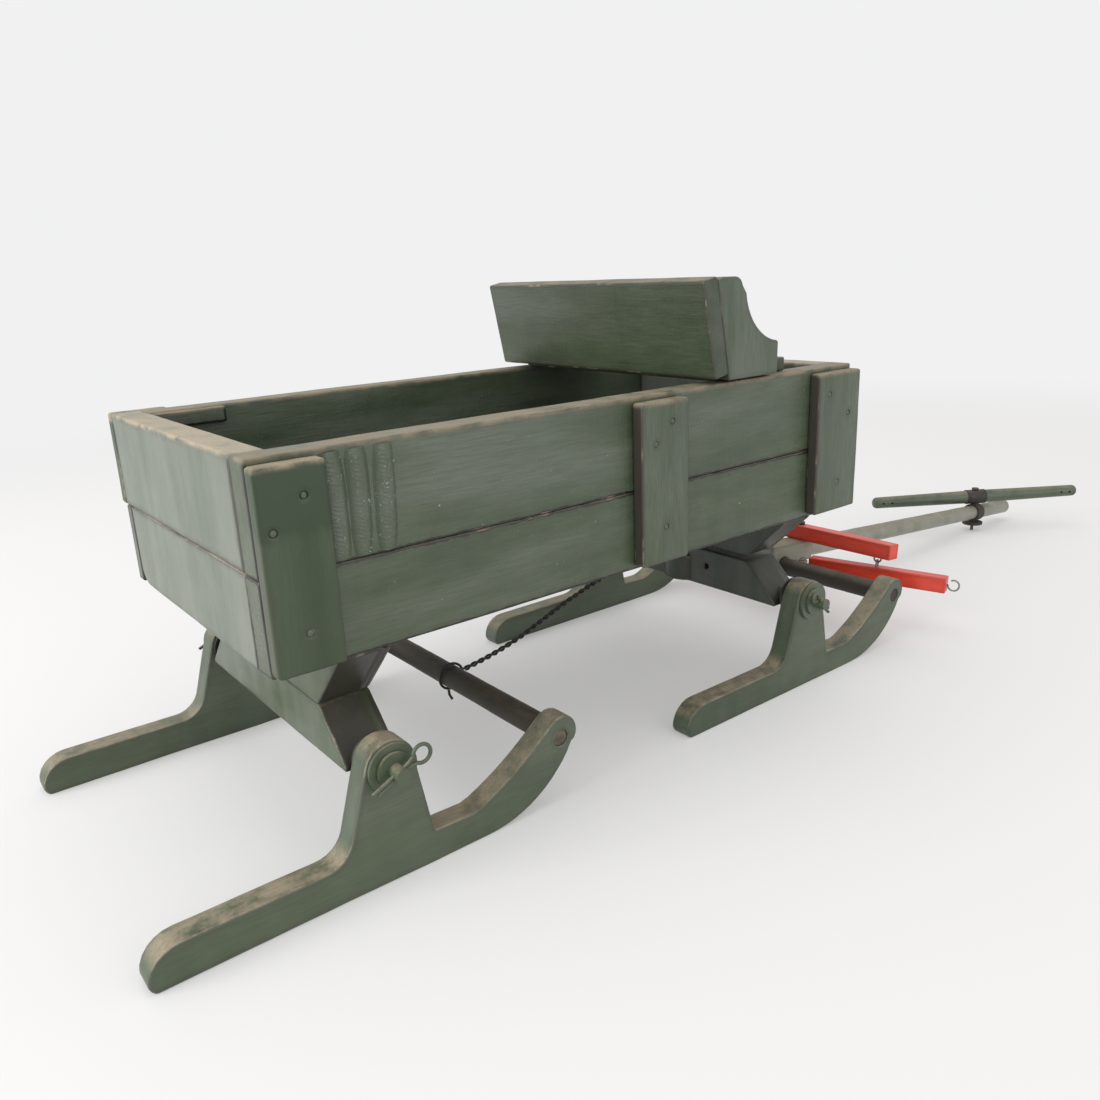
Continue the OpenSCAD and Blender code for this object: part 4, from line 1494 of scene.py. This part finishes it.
@dataclass
class PoleGear:
    """The pole with its saddle, strap and pins, the evener and the singletrees."""

    pole_radii: tuple[float, float] = (10.5 * MM, 9.5 * MM)
    pole_length: float = 524 * MM
    pole_rise: float = 12 * MM
    notch_radius: float = 9.6 * MM
    head_from: float = -20 * MM
    head_to: float = 50 * MM
    head_half: float = 12 * MM
    head_foot: float = 1.3 * MM
    head_top: float = 24 * MM
    neck: float = 14 * MM

    def build(self, shop: Shop) -> None:
        """Builds and dresses the draught gear.

        Args:
            shop: Where it is built.
        """
        bar = middle("front_crossbar")
        pole = Matrix.Translation((bar.x, 0, bar.z)) @ Matrix.Rotation(POLE_DIP, 4, "Y")
        self.pole(shop, pole)
        shop.saw("pole_saddle", Axis.Y, "saddle_bare", turn=pole, ease=1.2 * MM)
        shop.dress("black_iron", "saddle_nails", "evener_bolt", "yoke_band")
        shop.dress("old_leather", "pole_strap", "pin_washer")
        shop.dress("rusty_iron", "yoke_pin")
        shop.saw("evener", Axis.Y, "tree_red", turn=pole, ease=0.7 * MM, unevenness=0.1 * MM)
        for side, sign in (("right", 1), ("left", -1)):
            turn = pole @ Matrix.Rotation(sign * TREE_SWING, 4, "Z")
            shop.saw(f"{side}_singletree", Axis.Y, "tree_red", turn=turn, ease=0.7 * MM, unevenness=0.1 * MM)
            shop.dress("steel_wire", f"{side}_singletree_hooks")
        shop.dress("steel_wire", "evener_staples")

    def pole(self, shop: Shop, pole: Matrix) -> None:
        """Shapes the squared head and the tapering round pole.

        Args:
            shop: Where it is built.
            pole: The pole's own frame.
        """
        start = math.asin(self.head_foot / self.notch_radius)
        curve = [self.notch_radius * Vector((math.sin(a), math.cos(a)))
                 for a in np.linspace(start, math.pi - start, 11)]
        outline = [Vector(spot) for spot in (
            (self.head_foot, self.head_from), (self.head_top, self.head_from),
            (self.head_top, self.head_to - self.neck),
            (self.pole_rise + self.pole_radii[0], self.head_to), (self.head_foot, self.head_to))]
        outline += curve
        sawn = SawnMesh(Axis.Y, pole, ease=1.6 * MM)
        sawn.add(Prism(tidy_loop(outline), [], -self.head_half, self.head_half))
        head = sawn.finish("pole_head", 3)
        head.data.materials.append(shop.finishes.get("pole_green"))
        line = [pole @ Vector((x, 0, self.pole_rise)) for x in (self.head_to - 6 * MM, self.pole_length)]
        shaft = shop.shape(Workshop.ROUND_BAR, "pole_shaft", [line], "pole_green",
                           start_radius=self.pole_radii[0], end_radius=self.pole_radii[1], ease=2 * MM,
                           unevenness=0.4 * MM)
        shop.mount(join("pole_shaped", [head, shaft]), "pole_green", ["pole"])


@dataclass
class NeckYoke:
    """The yoke at the pole's end."""

    def build(self, shop: Shop) -> None:
        """Dresses the yoke.

        Args:
            shop: Where it is built.
        """
        shop.dress("yoke_green", "neck_yoke")


# ---- stage -------------------------------------------------------------------


@dataclass
class Studio:
    """Pale floor, soft light and the camera."""

    eye: tuple[float, float, float] = (-715.45 * MM, -618.36 * MM, 375.29 * MM)
    yaw: float = math.radians(52.188)
    pitch: float = math.radians(-16.911)
    roll: float = math.radians(-2.494)
    lens: float = 30.18
    sensor: float = 36.0
    floor_radius: float = 4.0

    def build(self) -> None:
        """Sets up floor, world, lights and camera."""
        self.floor()
        self.light()
        self.camera()

    def floor(self) -> None:
        """Lays the pale floor."""
        material, bench = new_material("pale_floor")
        spot = bench.add("ShaderNodeTexCoord").outputs["Object"]
        away = bench.add("ShaderNodeVectorMath", {0: spot}, operation="LENGTH").outputs["Value"]
        fade = bench.fade(away, 1.1, 2.4)
        matt = bench.add("ShaderNodeBsdfPrincipled", {
            "Base Color": (0.53, 0.526, 0.52, 1.0), "Roughness": 1.0, "Specular IOR Level": 0.0,
            "Emission Color": (1.0, 0.99, 0.975, 1.0), "Emission Strength": 0.27})
        clear = bench.add("ShaderNodeBsdfTransparent")
        mix = bench.add("ShaderNodeMixShader", {0: fade, 1: matt.outputs[0], 2: clear.outputs[0]})
        bench.add("ShaderNodeOutputMaterial", {0: mix.outputs[0]})
        mesh = bpy.data.meshes.new("floor")
        reach = self.floor_radius
        corners = [(x * reach, y * reach, 0) for x, y in ((-1, -1), (1, -1), (1, 1), (-1, 1))]
        mesh.from_pydata(corners, [], [(0, 1, 2, 3)])
        mesh.materials.append(material)
        floor = bpy.data.objects.new("floor", mesh)
        place_in_scene(floor)

    def light(self) -> None:
        """Lights the sled from all round, most strongly from the rear."""
        world = bpy.data.worlds.new("pale_room")
        world.use_nodes = True
        world.node_tree.nodes["Background"].inputs[0].default_value = (0.88, 0.88, 0.885, 1.0)
        world.node_tree.nodes["Background"].inputs[1].default_value = 1.0
        bpy.context.scene.world = world
        bpy.context.scene.view_settings.view_transform = "Standard"
        for name, place, size, power in (
            ("rear_soft", (-2.6, 0.25, 0.95), 1.7, 48.0),
            ("overhead", (0.2, 0.3, 2.6), 2.2, 10.0),
            ("side_fill", (0.3, -2.7, 0.7), 1.8, 14.0),
        ):
            lamp = bpy.data.lights.new(name, "AREA")
            lamp.size = size
            lamp.energy = power
            obj = bpy.data.objects.new(name, lamp)
            obj.location = place
            obj.rotation_euler = (-Vector(place)).to_track_quat("-Z", "Y").to_euler()
            place_in_scene(obj)

    def camera(self) -> None:
        """Places the camera."""
        flat = math.cos(self.pitch)
        ahead = Vector((math.cos(self.yaw) * flat, math.sin(self.yaw) * flat, math.sin(self.pitch)))
        level = Vector((math.sin(self.yaw), -math.cos(self.yaw), 0))
        upright = level.cross(ahead)
        right = math.cos(self.roll) * level + math.sin(self.roll) * upright
        above = math.cos(self.roll) * upright - math.sin(self.roll) * level
        data = bpy.data.cameras.new("camera")
        data.sensor_width = self.sensor
        data.lens = self.lens
        data.clip_start = 0.01
        camera = bpy.data.objects.new("camera", data)
        facing = Matrix((right, above, -ahead)).transposed().to_4x4()
        camera.matrix_world = Matrix.Translation(self.eye) @ facing
        place_in_scene(camera)
        bpy.context.scene.camera = camera


def main() -> None:
    """Builds the sled and its stage."""
    logging.basicConfig(level=logging.INFO, format="%(name)s %(message)s")
    shop = Shop(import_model())
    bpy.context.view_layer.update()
    for assembly in (WagonBox(), Seat(), Bobs(), ReachLink(), PoleGear(), NeckYoke()):
        LOG.info("building %s", type(assembly).__name__)
        assembly.build(shop)
    Studio().build()
    LOG.info("%d pieces built", shop.count)


if __name__ == "__main__":
    main()
